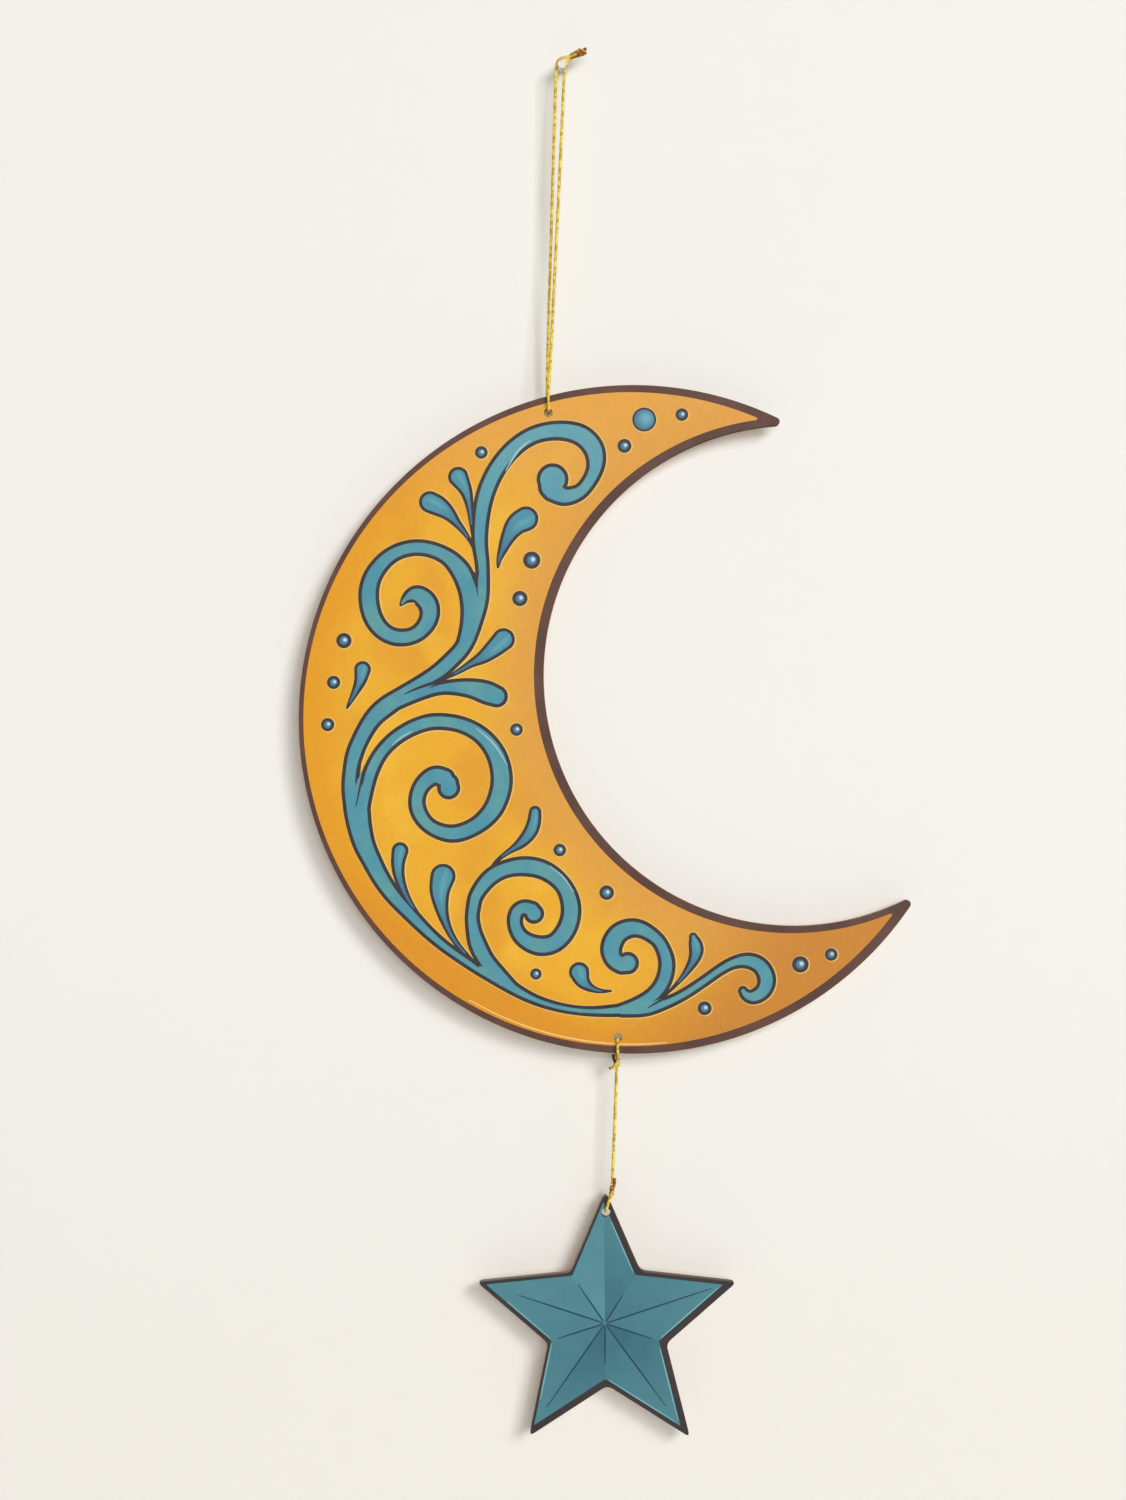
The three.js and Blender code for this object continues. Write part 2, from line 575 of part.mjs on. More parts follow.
// The hanging loop, from its knot over the nail, down behind the moon, through the hole,
// and up in front to the knot again
const hangerRim = -HANGER_DROP + MOON_HOLE_RIM_DISTANCE;
const hangerSpots = [
  [4.25, -0.65, 1.95], [2.6, -0.65, 1.35], [0.9, -0.5, 0.9], [-0.6, -0.3, 0.45],
  [-1.4, -0.1, -0.7], [-1.6, 0, -2.6], [-1.55, 0.1, -12], [-1.3, 0.8, -0.43 * HANGER_DROP],
  [-0.9, 1.9, hangerRim + 13], [-0.7, cordBack, hangerRim + 3],
  [-0.5, cordBack + 0.1, hangerRim - 1.5], [-0.3, cordBack, hangerBight + 1.15],
  [-0.1, boardBack + 0.1, hangerBight + 0.25], [0, boardBack / 2, hangerBight],
  [0, boardFront / 2, hangerBight], [0, faceFront - 0.1, hangerBight + 0.25],
  [0, cordFront, hangerBight + 1.45], [-0.15, cordFront - 0.15, hangerRim - 1.1],
  [-0.15, cordFront, hangerRim + 3], [0.05, -2, hangerRim + 13],
  [0.5, -0.7, -0.43 * HANGER_DROP], [0.8, 0, -12], [0.86, 0.35, -3.4], [1.05, 0.6, -1.5],
  [1.7, 0.7, -0.1], [2.9, 0.65, 1.05], [4.25, 0.65, 1.75],
];

// A closed loop from a knot through a hole. The rim is how far the board reaches from the
// hole's middle towards the knot.
function loopSpots(hole, diameter, rim, knotPlace) {
  const [kx, kz] = [knotPlace[0] - hole[0], knotPlace[2] - hole[1]];
  const toward = Math.sign(kz);
  const [front, back] = [cordFront, cordBack];
  const bight = toward * (diameter / 2 - CORD_CLEARANCE - cordRadius);
  const gap = toward * (SMALL_KNOT_RADIUS + 0.1);
  const reach = toward * rim;
  const spots = [
    [kx + 0.15, -1.2, kz - gap], [kx + 0.1, front + 0.3, reach + toward * 0.7],
    [kx * 0.7 + 0.1, front, reach - toward * 0.3], [kx * 0.4, front, reach * 0.6],
    [kx * 0.15, front + 0.15, reach * 0.32], [0, front + 0.7, bight + toward * 0.25],
    [0, boardFront * 0.6, bight], [0, boardBack * 0.4, bight],
    [kx * 0.15, back - 0.6, bight + toward * 0.25], [kx * 0.4, back, reach * 0.4],
    [kx * 0.8, back, reach - toward * 0.6], [kx - 0.1, back - 0.1, reach + toward * 0.6],
    [kx - 0.15, 1.2, kz - gap],
  ];
  return spots.map(([x, y, z]) => [hole[0] + x, y, hole[1] + z]);
}

// An overhand knot pulled tight is a lump of turns with its cut tails standing out
function knot(radius, tails) {
  const lump = new THREE.SphereGeometry(radius, 14, 9);
  const ends = tails.map(([x, y, z]) => tube([[0, 0, 0], [x / 2, y / 2, z / 2], [x, y, z]], 1));
  return toGeometry(joined([lump, ...ends]));
}

const hangerKnotPlace = [6, 0, 2.55];
const linkKnotPlace = [linkTop[0] - 0.1, 0, linkTop[1] - LINK_KNOT_DROP];
const starKnotPlace = [linkTop[0], 0, linkTop[1] - STAR_KNOT_DROP];

function buildCords() {
  const tail = KNOT_TAIL_LENGTH;
  addPiece("hanger_cord", tube(hangerSpots, 2), finishes.cord);
  addPiece("hanger_knot",
    knot(HANGER_KNOT_RADIUS, [[tail * 0.8, -0.4, tail * 0.35], [tail * 0.75, 0.5, tail * 0.1]]),
    finishes.cord, hangerKnotPlace);

  addPiece("link_loop",
    tube(loopSpots(linkTop, MOON_HOLE_DIAMETER, MOON_HOLE_RIM_DISTANCE, linkKnotPlace), 2),
    finishes.cord);
  addPiece("link_knot", knot(SMALL_KNOT_RADIUS, [[-tail * 0.75, -0.2, -tail * 0.45]]),
    finishes.cord, linkKnotPlace);

  const gap = SMALL_KNOT_RADIUS + CORD_CLEARANCE;
  const [top, bottom] = [linkKnotPlace[2] - gap, starKnotPlace[2] + gap];
  const strand = [0, 1, 2, 3].map((i) => [linkTop[0], 0, top + ((bottom - top) * i) / 3]);
  addPiece("link_strand", tube(strand, 4), finishes.cord);
  addPiece("star_knot", knot(SMALL_KNOT_RADIUS, [[tail * 0.66, -tail * 0.42, tail * 0.8]]),
    finishes.cord, starKnotPlace);
  const starRim = STAR_TIP_DISTANCE - STAR_CORNER_LENGTH / 2 - STAR_HOLE_HEIGHT;
  addPiece("star_loop",
    tube(loopSpots(starHolePlace, STAR_HOLE_DIAMETER, starRim, starKnotPlace), 2),
    finishes.cord);
}

buildMoon();
buildScrollwork();
buildLoneInk();
buildStar();
buildCords();

export default ornament;
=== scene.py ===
"""A crescent moon ornament with printed scrollwork on a gold cord, and a star below it.

Each piece is built in millimetres and stored in metres around the point where the cord bears
on its nail. X runs right, Z up, and the printed faces look along -Y.
"""

from __future__ import annotations

import logging
import math
from collections.abc import Iterable, Mapping, Sequence
from dataclasses import dataclass
from enum import Enum
from typing import Any

import bmesh
import bpy
from bmesh.types import BMesh, BMFace, BMVert
from bpy.types import ID, Material, Mesh, Node, NodeSocket, NodeTree, Object
from mathutils import Matrix, Vector

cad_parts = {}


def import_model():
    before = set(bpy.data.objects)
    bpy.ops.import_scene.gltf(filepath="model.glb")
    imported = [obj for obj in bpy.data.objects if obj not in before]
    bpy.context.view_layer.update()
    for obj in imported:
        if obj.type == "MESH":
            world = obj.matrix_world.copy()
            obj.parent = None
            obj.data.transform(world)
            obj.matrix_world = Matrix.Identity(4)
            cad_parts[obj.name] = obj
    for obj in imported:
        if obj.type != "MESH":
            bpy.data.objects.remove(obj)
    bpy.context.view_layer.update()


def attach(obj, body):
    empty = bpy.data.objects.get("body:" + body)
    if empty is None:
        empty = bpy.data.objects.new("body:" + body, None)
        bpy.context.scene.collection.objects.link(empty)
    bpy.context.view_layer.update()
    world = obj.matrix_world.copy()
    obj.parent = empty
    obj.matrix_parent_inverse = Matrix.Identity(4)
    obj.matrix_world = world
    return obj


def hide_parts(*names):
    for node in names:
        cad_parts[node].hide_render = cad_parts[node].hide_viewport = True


LOG = logging.getLogger("crescent_ornament")
MM = 0.001
# The drill of the cord holes, the round of the printed borders, and the half-width of a fine end.
DRILL_SIDES = 48
DRILL_LENGTH = 12.0
BORDER_ROUND = 0.09
FINE_END = 0.13
# The most that an inset takes of a stroke's half-width, and the half-width at which a stroke ends
# where it has an inset and where it has none.
MOST_INSET = 0.64
INSET_END = 0.25
PLAIN_END = 0.12

# A point is x, y and z, or x, z and a half-width; a spot is x and z, or two plain sizes.
Point = tuple[float, float, float]
Spot = tuple[float, float]


class Ink(Enum):
    """How far in front of the middle of the board each printed layer starts and ends, in mm."""

    BORDER = (1.5, 1.7)
    GROUND = (1.7, 1.78)
    HALO = (1.78, 1.8)
    LINE = (1.8, 1.86)
    FILL = (1.86, 1.92)
    TOUCH = (1.92, 1.94)


def polar(angle: float, distance: float) -> Vector:
    """A point in a flat drawing.

    Args:
        angle: degrees from the X axis, counterclockwise.
        distance: millimetres from the middle.

    Returns:
        The point as x and z.
    """
    turn = math.radians(angle)
    return Vector((math.cos(turn) * distance, math.sin(turn) * distance))


def linear(code: str) -> tuple[float, float, float, float]:
    """Turns an sRGB hex colour to linear light.

    Args:
        code: six hex digits after a hash.

    Returns:
        Red, green, blue and an alpha of one.
    """
    parts = [int(code[i : i + 2], 16) / 255 for i in (1, 3, 5)]
    light = [c / 12.92 if c <= 0.04045 else ((c + 0.055) / 1.055) ** 2.4 for c in parts]
    return (light[0], light[1], light[2], 1.0)


def add_node(
    tree: NodeTree, kind: str, inputs: Mapping[str | int, Any] | None = None, **settings: Any
) -> Node:
    """Adds a node with its settings, its values and the links into it.

    Args:
        tree: the node tree.
        kind: the node's type name.
        inputs: by socket name or number, a value or the socket that feeds it.
        settings: the node's own properties.

    Returns:
        The new node.
    """
    node = tree.nodes.new(kind)
    for name, value in settings.items():
        setattr(node, name, value)
    for key, value in (inputs or {}).items():
        if isinstance(value, NodeSocket):
            tree.links.new(value, node.inputs[key])
        else:
            node.inputs[key].default_value = value
    return node


def new_material(
    name: str, roughness: float = 0.42, specular: float = 0.2
) -> tuple[Material, NodeTree, Node]:
    """Starts a material with one plain surface shader.

    Args:
        name: the material's name.
        roughness: how dull the surface is.
        specular: how much it mirrors, where a half is the usual plastic.

    Returns:
        The material, its node tree and its surface shader.
    """
    material = bpy.data.materials.new(name)
    material.use_nodes = True
    tree = material.node_tree
    tree.nodes.clear()
    sheen = {"Roughness": roughness, "Specular IOR Level": specular}
    surface = add_node(tree, "ShaderNodeBsdfPrincipled", sheen)
    add_node(tree, "ShaderNodeOutputMaterial", {"Surface": surface.outputs[0]})
    return material, tree, surface


def even_paint(name: str, tone: str, roughness: float) -> Material:
    """One even paint, for the plain things of the stage.

    Args:
        name: the material's name.
        tone: its colour.
        roughness: how dull it is.

    Returns:
        The material.
    """
    material, _, surface = new_material(name, roughness, 0.5)
    surface.inputs["Base Color"].default_value = linear(tone)
    return material


def grain(tree: NodeTree, size_mm: float, detail: float = 3.0) -> NodeSocket:
    """Soft noise over the object, one cell for each stated size.

    Args:
        tree: the material's node tree.
        size_mm: the width of one cell.
        detail: how many finer layers lie in it.

    Returns:
        The noise as a number around a half.
    """
    place = add_node(tree, "ShaderNodeTexCoord").outputs["Object"]
    cells = {"Vector": place, "Scale": 1 / (size_mm * MM), "Detail": detail, "Roughness": 0.55}
    return add_node(tree, "ShaderNodeTexNoise", cells).outputs[0]


@dataclass(frozen=True)
class CrescentForm:
    """The moon's outline: a round rim with a round bay cut out of it, in mm."""

    rim: float = 100.0
    bay: float = 75.0
    offset: float = 50.0
    tilt: float = 17.4
    centre: Spot = (28.836, -196.424)

    @property
    def bay_centre(self) -> Vector:
        """The middle of the bay's circle, in the ornament's frame."""
        return Vector(self.centre) + polar(self.tilt, self.offset)

    def outline(self, rim_inset: float, bay_inset: float, tip: float, shift: Spot) -> list[Vector]:
        """Points along the crescent's edge, in the ornament's frame.

        Args:
            rim_inset: how far inside the rim the edge runs.
            bay_inset: how far inside the bay's edge it runs.
            tip: the radius that rounds each horn.
            shift: how far the whole outline is moved.

        Returns:
            The closed outline's points, counterclockwise.
        """
        rim, bay = self.rim - rim_inset, self.bay + bay_inset
        along = ((rim - tip) ** 2 - (bay + tip) ** 2 + self.offset**2) / (2 * self.offset)
        across = math.sqrt((rim - tip) ** 2 - along**2)
        horn = math.degrees(math.atan2(across, along))
        mouth = math.degrees(math.atan2(across, along - self.offset))
        hollow = polar(self.tilt, self.offset)
        upper, lower = (polar(self.tilt + side * horn, rim - tip) for side in (1, -1))
        points = [
            *arc(Vector((0, 0)), rim, self.tilt + horn, self.tilt + 360 - horn, 260),
            *arc(lower, tip, self.tilt - horn, self.tilt + 180 - mouth, 10),
            *arc(hollow, bay, self.tilt + 360 - mouth, self.tilt + mouth, 170),
            *arc(upper, tip, self.tilt + 180 + mouth, self.tilt + 360 + horn, 10)
        ]
        moved = [p + Vector(self.centre) + Vector(shift) for p in points]
        return without_repeats(moved)


@dataclass(frozen=True)
class StarForm:
    """The star's outline: ten corners with small rounds, in mm.

    Each row of the cut holds how many degrees a corner stands off its even place, and its
    share of the even distance, from the top tip round to the left.
    """

    tip: float = 40.0
    notch: float = 18.5
    lean: float = 2.8
    corner_reach: float = 1.8
    top_reach: float = 2.6
    centre: Spot = (28.006, -377.72)
    cut: tuple[Spot, ...] = (
        (0.1, 0.997), (-2.2, 1.025), (-0.8, 1.025), (-1, 0.995), (0.5, 1.015), (-0.1, 0.98),
        (-0.2, 1.045), (-0.3, 1.005), (-0.4, 1.02), (3.3, 1.015)
    )

    def corner(self, i: int) -> Vector:
        """The i-th corner around the middle, the top tip first and then to the left."""
        off, share = self.cut[i % 10]
        distance = self.notch if i % 2 else self.tip
        return polar(90 + self.lean + 36 * i + off, distance * share)

    def scale(self, inset: float) -> float:
        """How much smaller the star is when all its edges move in.

        Args:
            inset: how far the edges move, in mm.

        Returns:
            The scale around the middle.
        """
        tip, notch = self.corner(0), self.corner(1)
        edge = abs(tip.x * notch.y - tip.y * notch.x) / (tip - notch).length
        return (edge - inset) / edge

    def outline(self, inset: float, shift: Spot, reach: float | None = None) -> list[Vector]:
        """Points along the star's edge, in the ornament's frame.

        Args:
            inset: how far inside the cut edge it runs.
            shift: how far the whole outline is moved.
            reach: how far from a corner its round starts.

        Returns:
            The closed outline's points, counterclockwise.
        """
        points: list[Vector] = []
        for i in range(10):
            here = self.corner(i)
            rounded = reach or (self.corner_reach if i else self.top_reach)
            before, after = (
                here + (self.corner(j) - here).normalized() * rounded for j in (i + 9, i + 1)
            )
            for share in (0.0, 0.25, 0.5, 0.75, 1.0):
                one, two = before.lerp(here, share), here.lerp(after, share)
                points.append(one.lerp(two, share))
        middle = Vector(self.centre) + Vector(shift)
        return [p * self.scale(inset) + middle for p in points]


def arc(centre: Vector, radius: float, start: float, end: float, steps: int) -> list[Vector]:
    """Points along a round arc.

    Args:
        centre: the arc's middle.
        radius: its radius in mm.
        start: the angle of its first point, in degrees.
        end: the angle of its last point.
        steps: how many stretches it is cut into.

    Returns:
        One more point than there are steps.
    """
    return [centre + polar(start + (end - start) * i / steps, radius) for i in range(steps + 1)]


def without_repeats(points: Sequence[Vector]) -> list[Vector]:
    """Leaves out each point that lies on the next one."""
    count = len(points)
    return [p for i, p in enumerate(points) if (p - points[(i + 1) % count]).length > 1e-3]


def smooth_route(knots: Sequence[Vector], steps: int) -> list[Vector]:
    """A smooth line through all knots, as a centripetal spline.

    Args:
        knots: the points that the line passes.
        steps: how many stretches lie between two knots.

    Returns:
        The line's points, with the first and last knot.
    """
    first, last = 2 * knots[0] - knots[1], 2 * knots[-1] - knots[-2]
    row = [first, *knots, last]
    line = [knots[0].copy()]
    for a, b, c, d in zip(row, row[1:], row[2:], row[3:]):
        ab, bc, cd = (max((q - p).length ** 0.5, 1e-4) for p, q in ((a, b), (b, c), (c, d)))
        leave = ((b - a) / ab - (c - a) / (ab + bc) + (c - b) / bc) * bc
        arrive = ((c - b) / bc - (d - b) / (bc + cd) + (d - c) / cd) * bc
        for i in range(1, steps + 1):
            t = i / steps
            keep, come = 1 - t, t
            line.append(
                b * (keep**3 + 3 * keep**2 * come)
                + leave * (keep**2 * come)
                + c * (come**3 + 3 * come**2 * keep)
                - arrive * (come**2 * keep)
            )
    return line


def add_object(name: str, data: ID) -> Object:
    """Makes an object of some data and links it to the scene."""
    made = bpy.data.objects.new(name, data)
    bpy.context.scene.collection.objects.link(made)
    return made


def stroke_mesh() -> BMesh:
    """An empty shape with the layer that tells where on its stroke each point lies."""
    bm = bmesh.new()
    bm.loops.layers.uv.new("stroke")
    return bm


def to_mesh(bm: BMesh, name: str) -> Object:
    """Turns a bmesh in mm to an object in metres at the origin.

    Args:
        bm: the shape, which is used up.
        name: the piece's name.

    Returns:
        The new object, linked to the scene.
    """
    bmesh.ops.transform(bm, matrix=Matrix.Scale(MM, 4), verts=bm.verts)
    mesh = bpy.data.meshes.new(name)
    bm.to_mesh(mesh)
    bm.free()
    return add_object(name, mesh)


def thicken(bm: BMesh, faces: Sequence[BMFace], depth: float) -> None:
    """Pulls flat faces out towards the front, so that they become a closed plate.

    Args:
        bm: the shape.
        faces: the flat faces, which stay as the plate's back.
        depth: the plate's thickness in mm.
    """
    pulled = bmesh.ops.extrude_face_region(bm, geom=list(faces))
    front = [g for g in pulled["geom"] if isinstance(g, BMVert)]
    bmesh.ops.translate(bm, verts=front, vec=(0, -depth, 0))
    bmesh.ops.recalc_face_normals(bm, faces=bm.faces)


def plate(bm: BMesh, outline: Sequence[Vector], back: float, front: float, bevel: float = 0.0) -> None:
    """Adds a flat plate to a bmesh.

    Args:
        bm: the shape it joins.
        outline: its edge as x and z.
        back: the y of its back, in mm in front of the board's middle.
        front: the y of its front, counted the same way.
        bevel: the width of the round along its edges.
    """
    corners = [bm.verts.new((p.x, -back, p.y)) for p in outline]
    face = bm.faces.new(corners)
    thicken(bm, [face], front - back)
    if bevel > 0:
        flat = [e for e in bm.edges if abs(e.verts[0].co.y - e.verts[1].co.y) < 1e-6]
        bmesh.ops.bevel(
            bm, geom=flat, offset=bevel, segments=3, profile=0.5, affect="EDGES", material=-1
        )


def cut_holes(piece: Object, holes: Iterable[tuple[Vector, float]]) -> None:
    """Drills round holes through a piece along Y.

    Args:
        piece: the piece, in metres.
        holes: each hole's middle in mm and its diameter.
    """
    for centre, diameter in holes:
        bm = bmesh.new()
        turn = Matrix.Translation((centre.x, 0, centre.y)) @ Matrix.Rotation(math.pi / 2, 4, "X")
        bmesh.ops.create_cone(
            bm, cap_ends=True, segments=DRILL_SIDES, radius1=diameter / 2, radius2=diameter / 2,
            depth=DRILL_LENGTH, matrix=turn
        )
        combine(piece, [to_mesh(bm, "drill")], "DIFFERENCE")


def combine(piece: Object, others: Sequence[Object], how: str) -> None:
    """Joins other closed pieces to a piece, or cuts them out of it, and removes them.

    Args:
        piece: the piece that stays.
        others: the pieces that are used up.
        how: UNION or DIFFERENCE.
    """
    group = bpy.data.collections.new("others")
    for other in others:
        group.objects.link(other)
    step = piece.modifiers.new("combine", "BOOLEAN")
    step.operation = how
    step.operand_type = "COLLECTION"
    step.collection = group
    step.solver = "EXACT"
    step.use_self = how == "UNION"
    mesh = evaluated_mesh(piece)
    piece.modifiers.clear()
    piece.data = mesh
    for other in others:
        bpy.data.objects.remove(other)
    bpy.data.collections.remove(group)


def drilled_sheet(
    name: str, outline: Sequence[Vector], layer: Spot, bevel: float,
    holes: Iterable[tuple[Vector, float]]
) -> Object:
    """Makes a flat sheet with round holes.

    Args:
        name: the piece's name.
        outline: its edge as x and z.
        layer: where its back and its front lie, in front of the board's middle.
        bevel: the width of the round along its edges.
        holes: each hole's middle in mm and its diameter.

    Returns:
        The piece.
    """
    bm = bmesh.new()
    plate(bm, outline, *layer, bevel)
    piece = to_mesh(bm, name)
    cut_holes(piece, holes)
    return piece


def evaluated_mesh(piece: Object) -> Mesh:
    """A plain mesh of what a piece's modifiers or its curve make."""
    bpy.context.view_layer.update()
    graph = bpy.context.evaluated_depsgraph_get()
    return bpy.data.meshes.new_from_object(piece.evaluated_get(graph))


def mark_edges(piece: Object) -> None:
    """Gives the second finish to every face of a board that isn't its front or its back."""
    for face in piece.data.polygons:
        if abs(face.normal.y) < 0.6:
            face.material_index = 1


def finish_piece(
    piece: Object, body: str, materials: Sequence[Material], stands_for: Sequence[str] = ()
) -> Object:
    """Gives a piece its body, its finish and the nodes that it stands for.

    Args:
        piece: the piece.
        body: the moving body that it rides on.
        materials: its materials by face index.
        stands_for: the plain solids that it replaces.

    Returns:
        The same piece.
    """
    if not piece.data.materials:
        for material in materials:
            piece.data.materials.append(material)
    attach(piece, body)
    if stands_for:
        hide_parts(*stands_for)
    LOG.info("piece %s rides on %s with %d faces", piece.name, body, len(piece.data.polygons))
    return piece


@dataclass(frozen=True)
class Coat:
    """A tint laid over a colour, from nothing at the start of a value to most at its end."""

    value: NodeSocket
    start: float
    end: float
    tint: str
    most: float = 1.0
    soft: bool = False


def lay_coats(tree: NodeTree, base: str, coats: Sequence[Coat]) -> NodeSocket:
    """Lays tints over a base colour, each over the one before.

    Args:
        tree: the material's node tree.
        base: the base colour.
        coats: the tints, the lowest first.

    Returns:
        The colour that they make.
    """
    colour: Any = linear(base)
    for coat in coats:
        share = add_node(
            tree, "ShaderNodeMapRange",
            {"Value": coat.value, "From Min": coat.start, "From Max": coat.end, "To Max": coat.most},
            interpolation_type="SMOOTHSTEP" if coat.soft else "LINEAR"
        )
        mixed = {0: share.outputs[0], 6: colour, 7: linear(coat.tint)}
        colour = add_node(tree, "ShaderNodeMix", mixed, data_type="RGBA").outputs[2]
    return colour


def flecked(tree: NodeTree, colour: NodeSocket, size_mm: float, swing: float) -> NodeSocket:
    """Makes a colour darker and brighter in fine flecks.

    Args:
        tree: the material's node tree.
        colour: the colour.
        size_mm: the width of a fleck.
        swing: how much darker and brighter it gets, as a share.

    Returns:
        The uneven colour.
    """
    fleck = add_node(
        tree, "ShaderNodeMapRange",
        {"Value": grain(tree, size_mm, 4.0), "To Min": 1 - swing, "To Max": 1 + swing}
    )
    uneven = {"Color": colour, "Value": fleck.outputs[0]}
    return add_node(tree, "ShaderNodeHueSaturation", uneven).outputs[0]


@dataclass(frozen=True)
class Hardboard:
    """Wood fibre board: short fibres and a dull face, tan where pressed, charred where cut."""

    name: str = "pressed_hardboard"
    pale: str = "#bd9a74"
    dark: str = "#8d6b49"
    fibre_mm: float = 0.8
    relief: float = 0.08

    def make(self) -> Material:
        """Builds the material."""
        material, tree, surface = new_material(self.name, 0.78, 0.35)
        place = add_node(tree, "ShaderNodeTexCoord").outputs["Object"]
        lie = {"Vector": place, "Rotation": (0, 0.6, 0), "Scale": (1, 1, 3)}
        laid = add_node(tree, "ShaderNodeMapping", lie).outputs[0]
        fibre = {"Vector": laid, "Scale": 1 / (self.fibre_mm * MM), "Detail": 6.0}
        fibres = add_node(tree, "ShaderNodeTexNoise", fibre).outputs[0]
        height = {"Height": fibres, "Strength": self.relief, "Distance": 0.1 * MM}
        tone = lay_coats(tree, self.dark, [Coat(fibres, 0.32, 0.68, self.pale)])
        tree.links.new(tone, surface.inputs["Base Color"])
        tree.links.new(add_node(tree, "ShaderNodeBump", height).outputs[0], surface.inputs["Normal"])
        return material


@dataclass(frozen=True)
class PrintedInk:
    """Ink printed on coated board: an even colour with faint clouds and a low satin sheen."""

    name: str
    tone: str
    cloud: str
    cloud_mm: float = 14.0
    roughness: float = 0.48
    uneven_sheen: float = 0.06

    def make(self) -> Material:
        """Builds the material."""
        material, tree, surface = new_material(self.name)
        least, most = self.roughness - self.uneven_sheen, self.roughness + self.uneven_sheen
        sheen = {"Value": grain(tree, 0.9, 2.0), "To Min": least, "To Max": most}
        speckle = add_node(tree, "ShaderNodeMapRange", sheen)
        clouds = Coat(grain(tree, self.cloud_mm), 0.35, 0.65, self.cloud)
        tree.links.new(lay_coats(tree, self.tone, [clouds]), surface.inputs["Base Color"])
        tree.links.new(speckle.outputs[0], surface.inputs["Roughness"])
        return material


@dataclass(frozen=True)
class AmberGround:
    """Airbrushed amber ink: bright in the broad middle, browner to the bay and the lower horn."""

    form: CrescentForm
    middle: str = "#e9ac27"
    rim: str = "#e2991a"
    bay: str = "#dd9d41"
    top: str = "#e3a446"
    low: str = "#da8e1e"
    horn: str = "#c8842f"
    high_horn: str = "#e6ab69"
    bright: str = "#f0b935"
    cloud: str = "#dd9526"

    def make(self) -> Material:
        """Builds the material."""
        material, tree, surface = new_material("amber_print", 0.46)
        place = add_node(tree, "ShaderNodeTexCoord").outputs["Object"]
        centre = (self.form.centre[0] * MM, 0, self.form.centre[1] * MM)
        hollow = (self.form.bay_centre.x * MM, 0, self.form.bay_centre.y * MM)
        from_middle, from_bay = (
            add_node(tree, "ShaderNodeVectorMath", {0: place, 1: spot}, operation="DISTANCE")
            for spot in (centre, hollow)
        )
        shifted = {0: place, 1: centre}
        local = add_node(tree, "ShaderNodeVectorMath", shifted, operation="SUBTRACT").outputs[0]
        down_right, down_left, up, up_right = (
            add_node(tree, "ShaderNodeVectorMath", {0: local, 1: way}, operation="DOT_PRODUCT")
            for way in ((0.75, 0, -0.66), (-0.5, 0, -0.87), (0.1, 0, 0.995), (0.7, 0, 0.71))
        )
        # Distances in these rows are metres, and the noises run from nought to one.
        rows = (
            (grain(tree, 26.0, 1.0), 0.5, 0.7, self.cloud, 0.6),
            (grain(tree, 17.0, 1.0), 0.5, 0.68, self.bright, 0.6),
            (from_middle.outputs["Value"], 0.080, 0.098, self.rim, 0.85),
            (up.outputs["Value"], 0.045, 0.085, self.top, 0.9),
            (down_left.outputs["Value"], 0.078, 0.093, self.low, 0.75),
            (up_right.outputs["Value"], 0.070, 0.090, self.high_horn, 1.0),
            (from_bay.outputs["Value"], 0.100, 0.078, self.bay, 0.95),
            (down_right.outputs["Value"], 0.047, 0.087, self.horn, 1.0)
        )
        colour = lay_coats(tree, self.middle, [Coat(*row, soft=True) for row in rows])
        skin = {"Height": grain(tree, 3.0), "Strength": 0.12, "Distance": 0.05 * MM}
        tree.links.new(flecked(tree, colour, 2.2, 0.07), surface.inputs["Base Color"])
        tree.links.new(add_node(tree, "ShaderNodeBump", skin).outputs[0], surface.inputs["Normal"])
        return material


@dataclass(frozen=True)
class TealInk:
    """Teal ink on the scrolls: slow changes from blue to green teal, paler at the top."""

    name: str = "teal_scroll_print"
    blue: str = "#4a90a4"
    green: str = "#5b9a9f"
    pale: str = "#6aa6b4"
    pale_from_mm: float = -150.0
    pale_to_mm: float = -100.0

    def make(self) -> Material:
        """Builds the material."""
        material, tree, surface = new_material(self.name, 0.44)
        place = add_node(tree, "ShaderNodeTexCoord").outputs["Object"]
        height = add_node(tree, "ShaderNodeSeparateXYZ", {"Vector": place}).outputs["Z"]
        tone = lay_coats(tree, self.blue, [
            Coat(grain(tree, 11.0, 2.0), 0.36, 0.64, self.green),
            Coat(height, self.pale_from_mm * MM, self.pale_to_mm * MM, self.pale, 0.8),
        ])
        tree.links.new(flecked(tree, tone, 3.5, 0.1), surface.inputs["Base Color"])
        return material


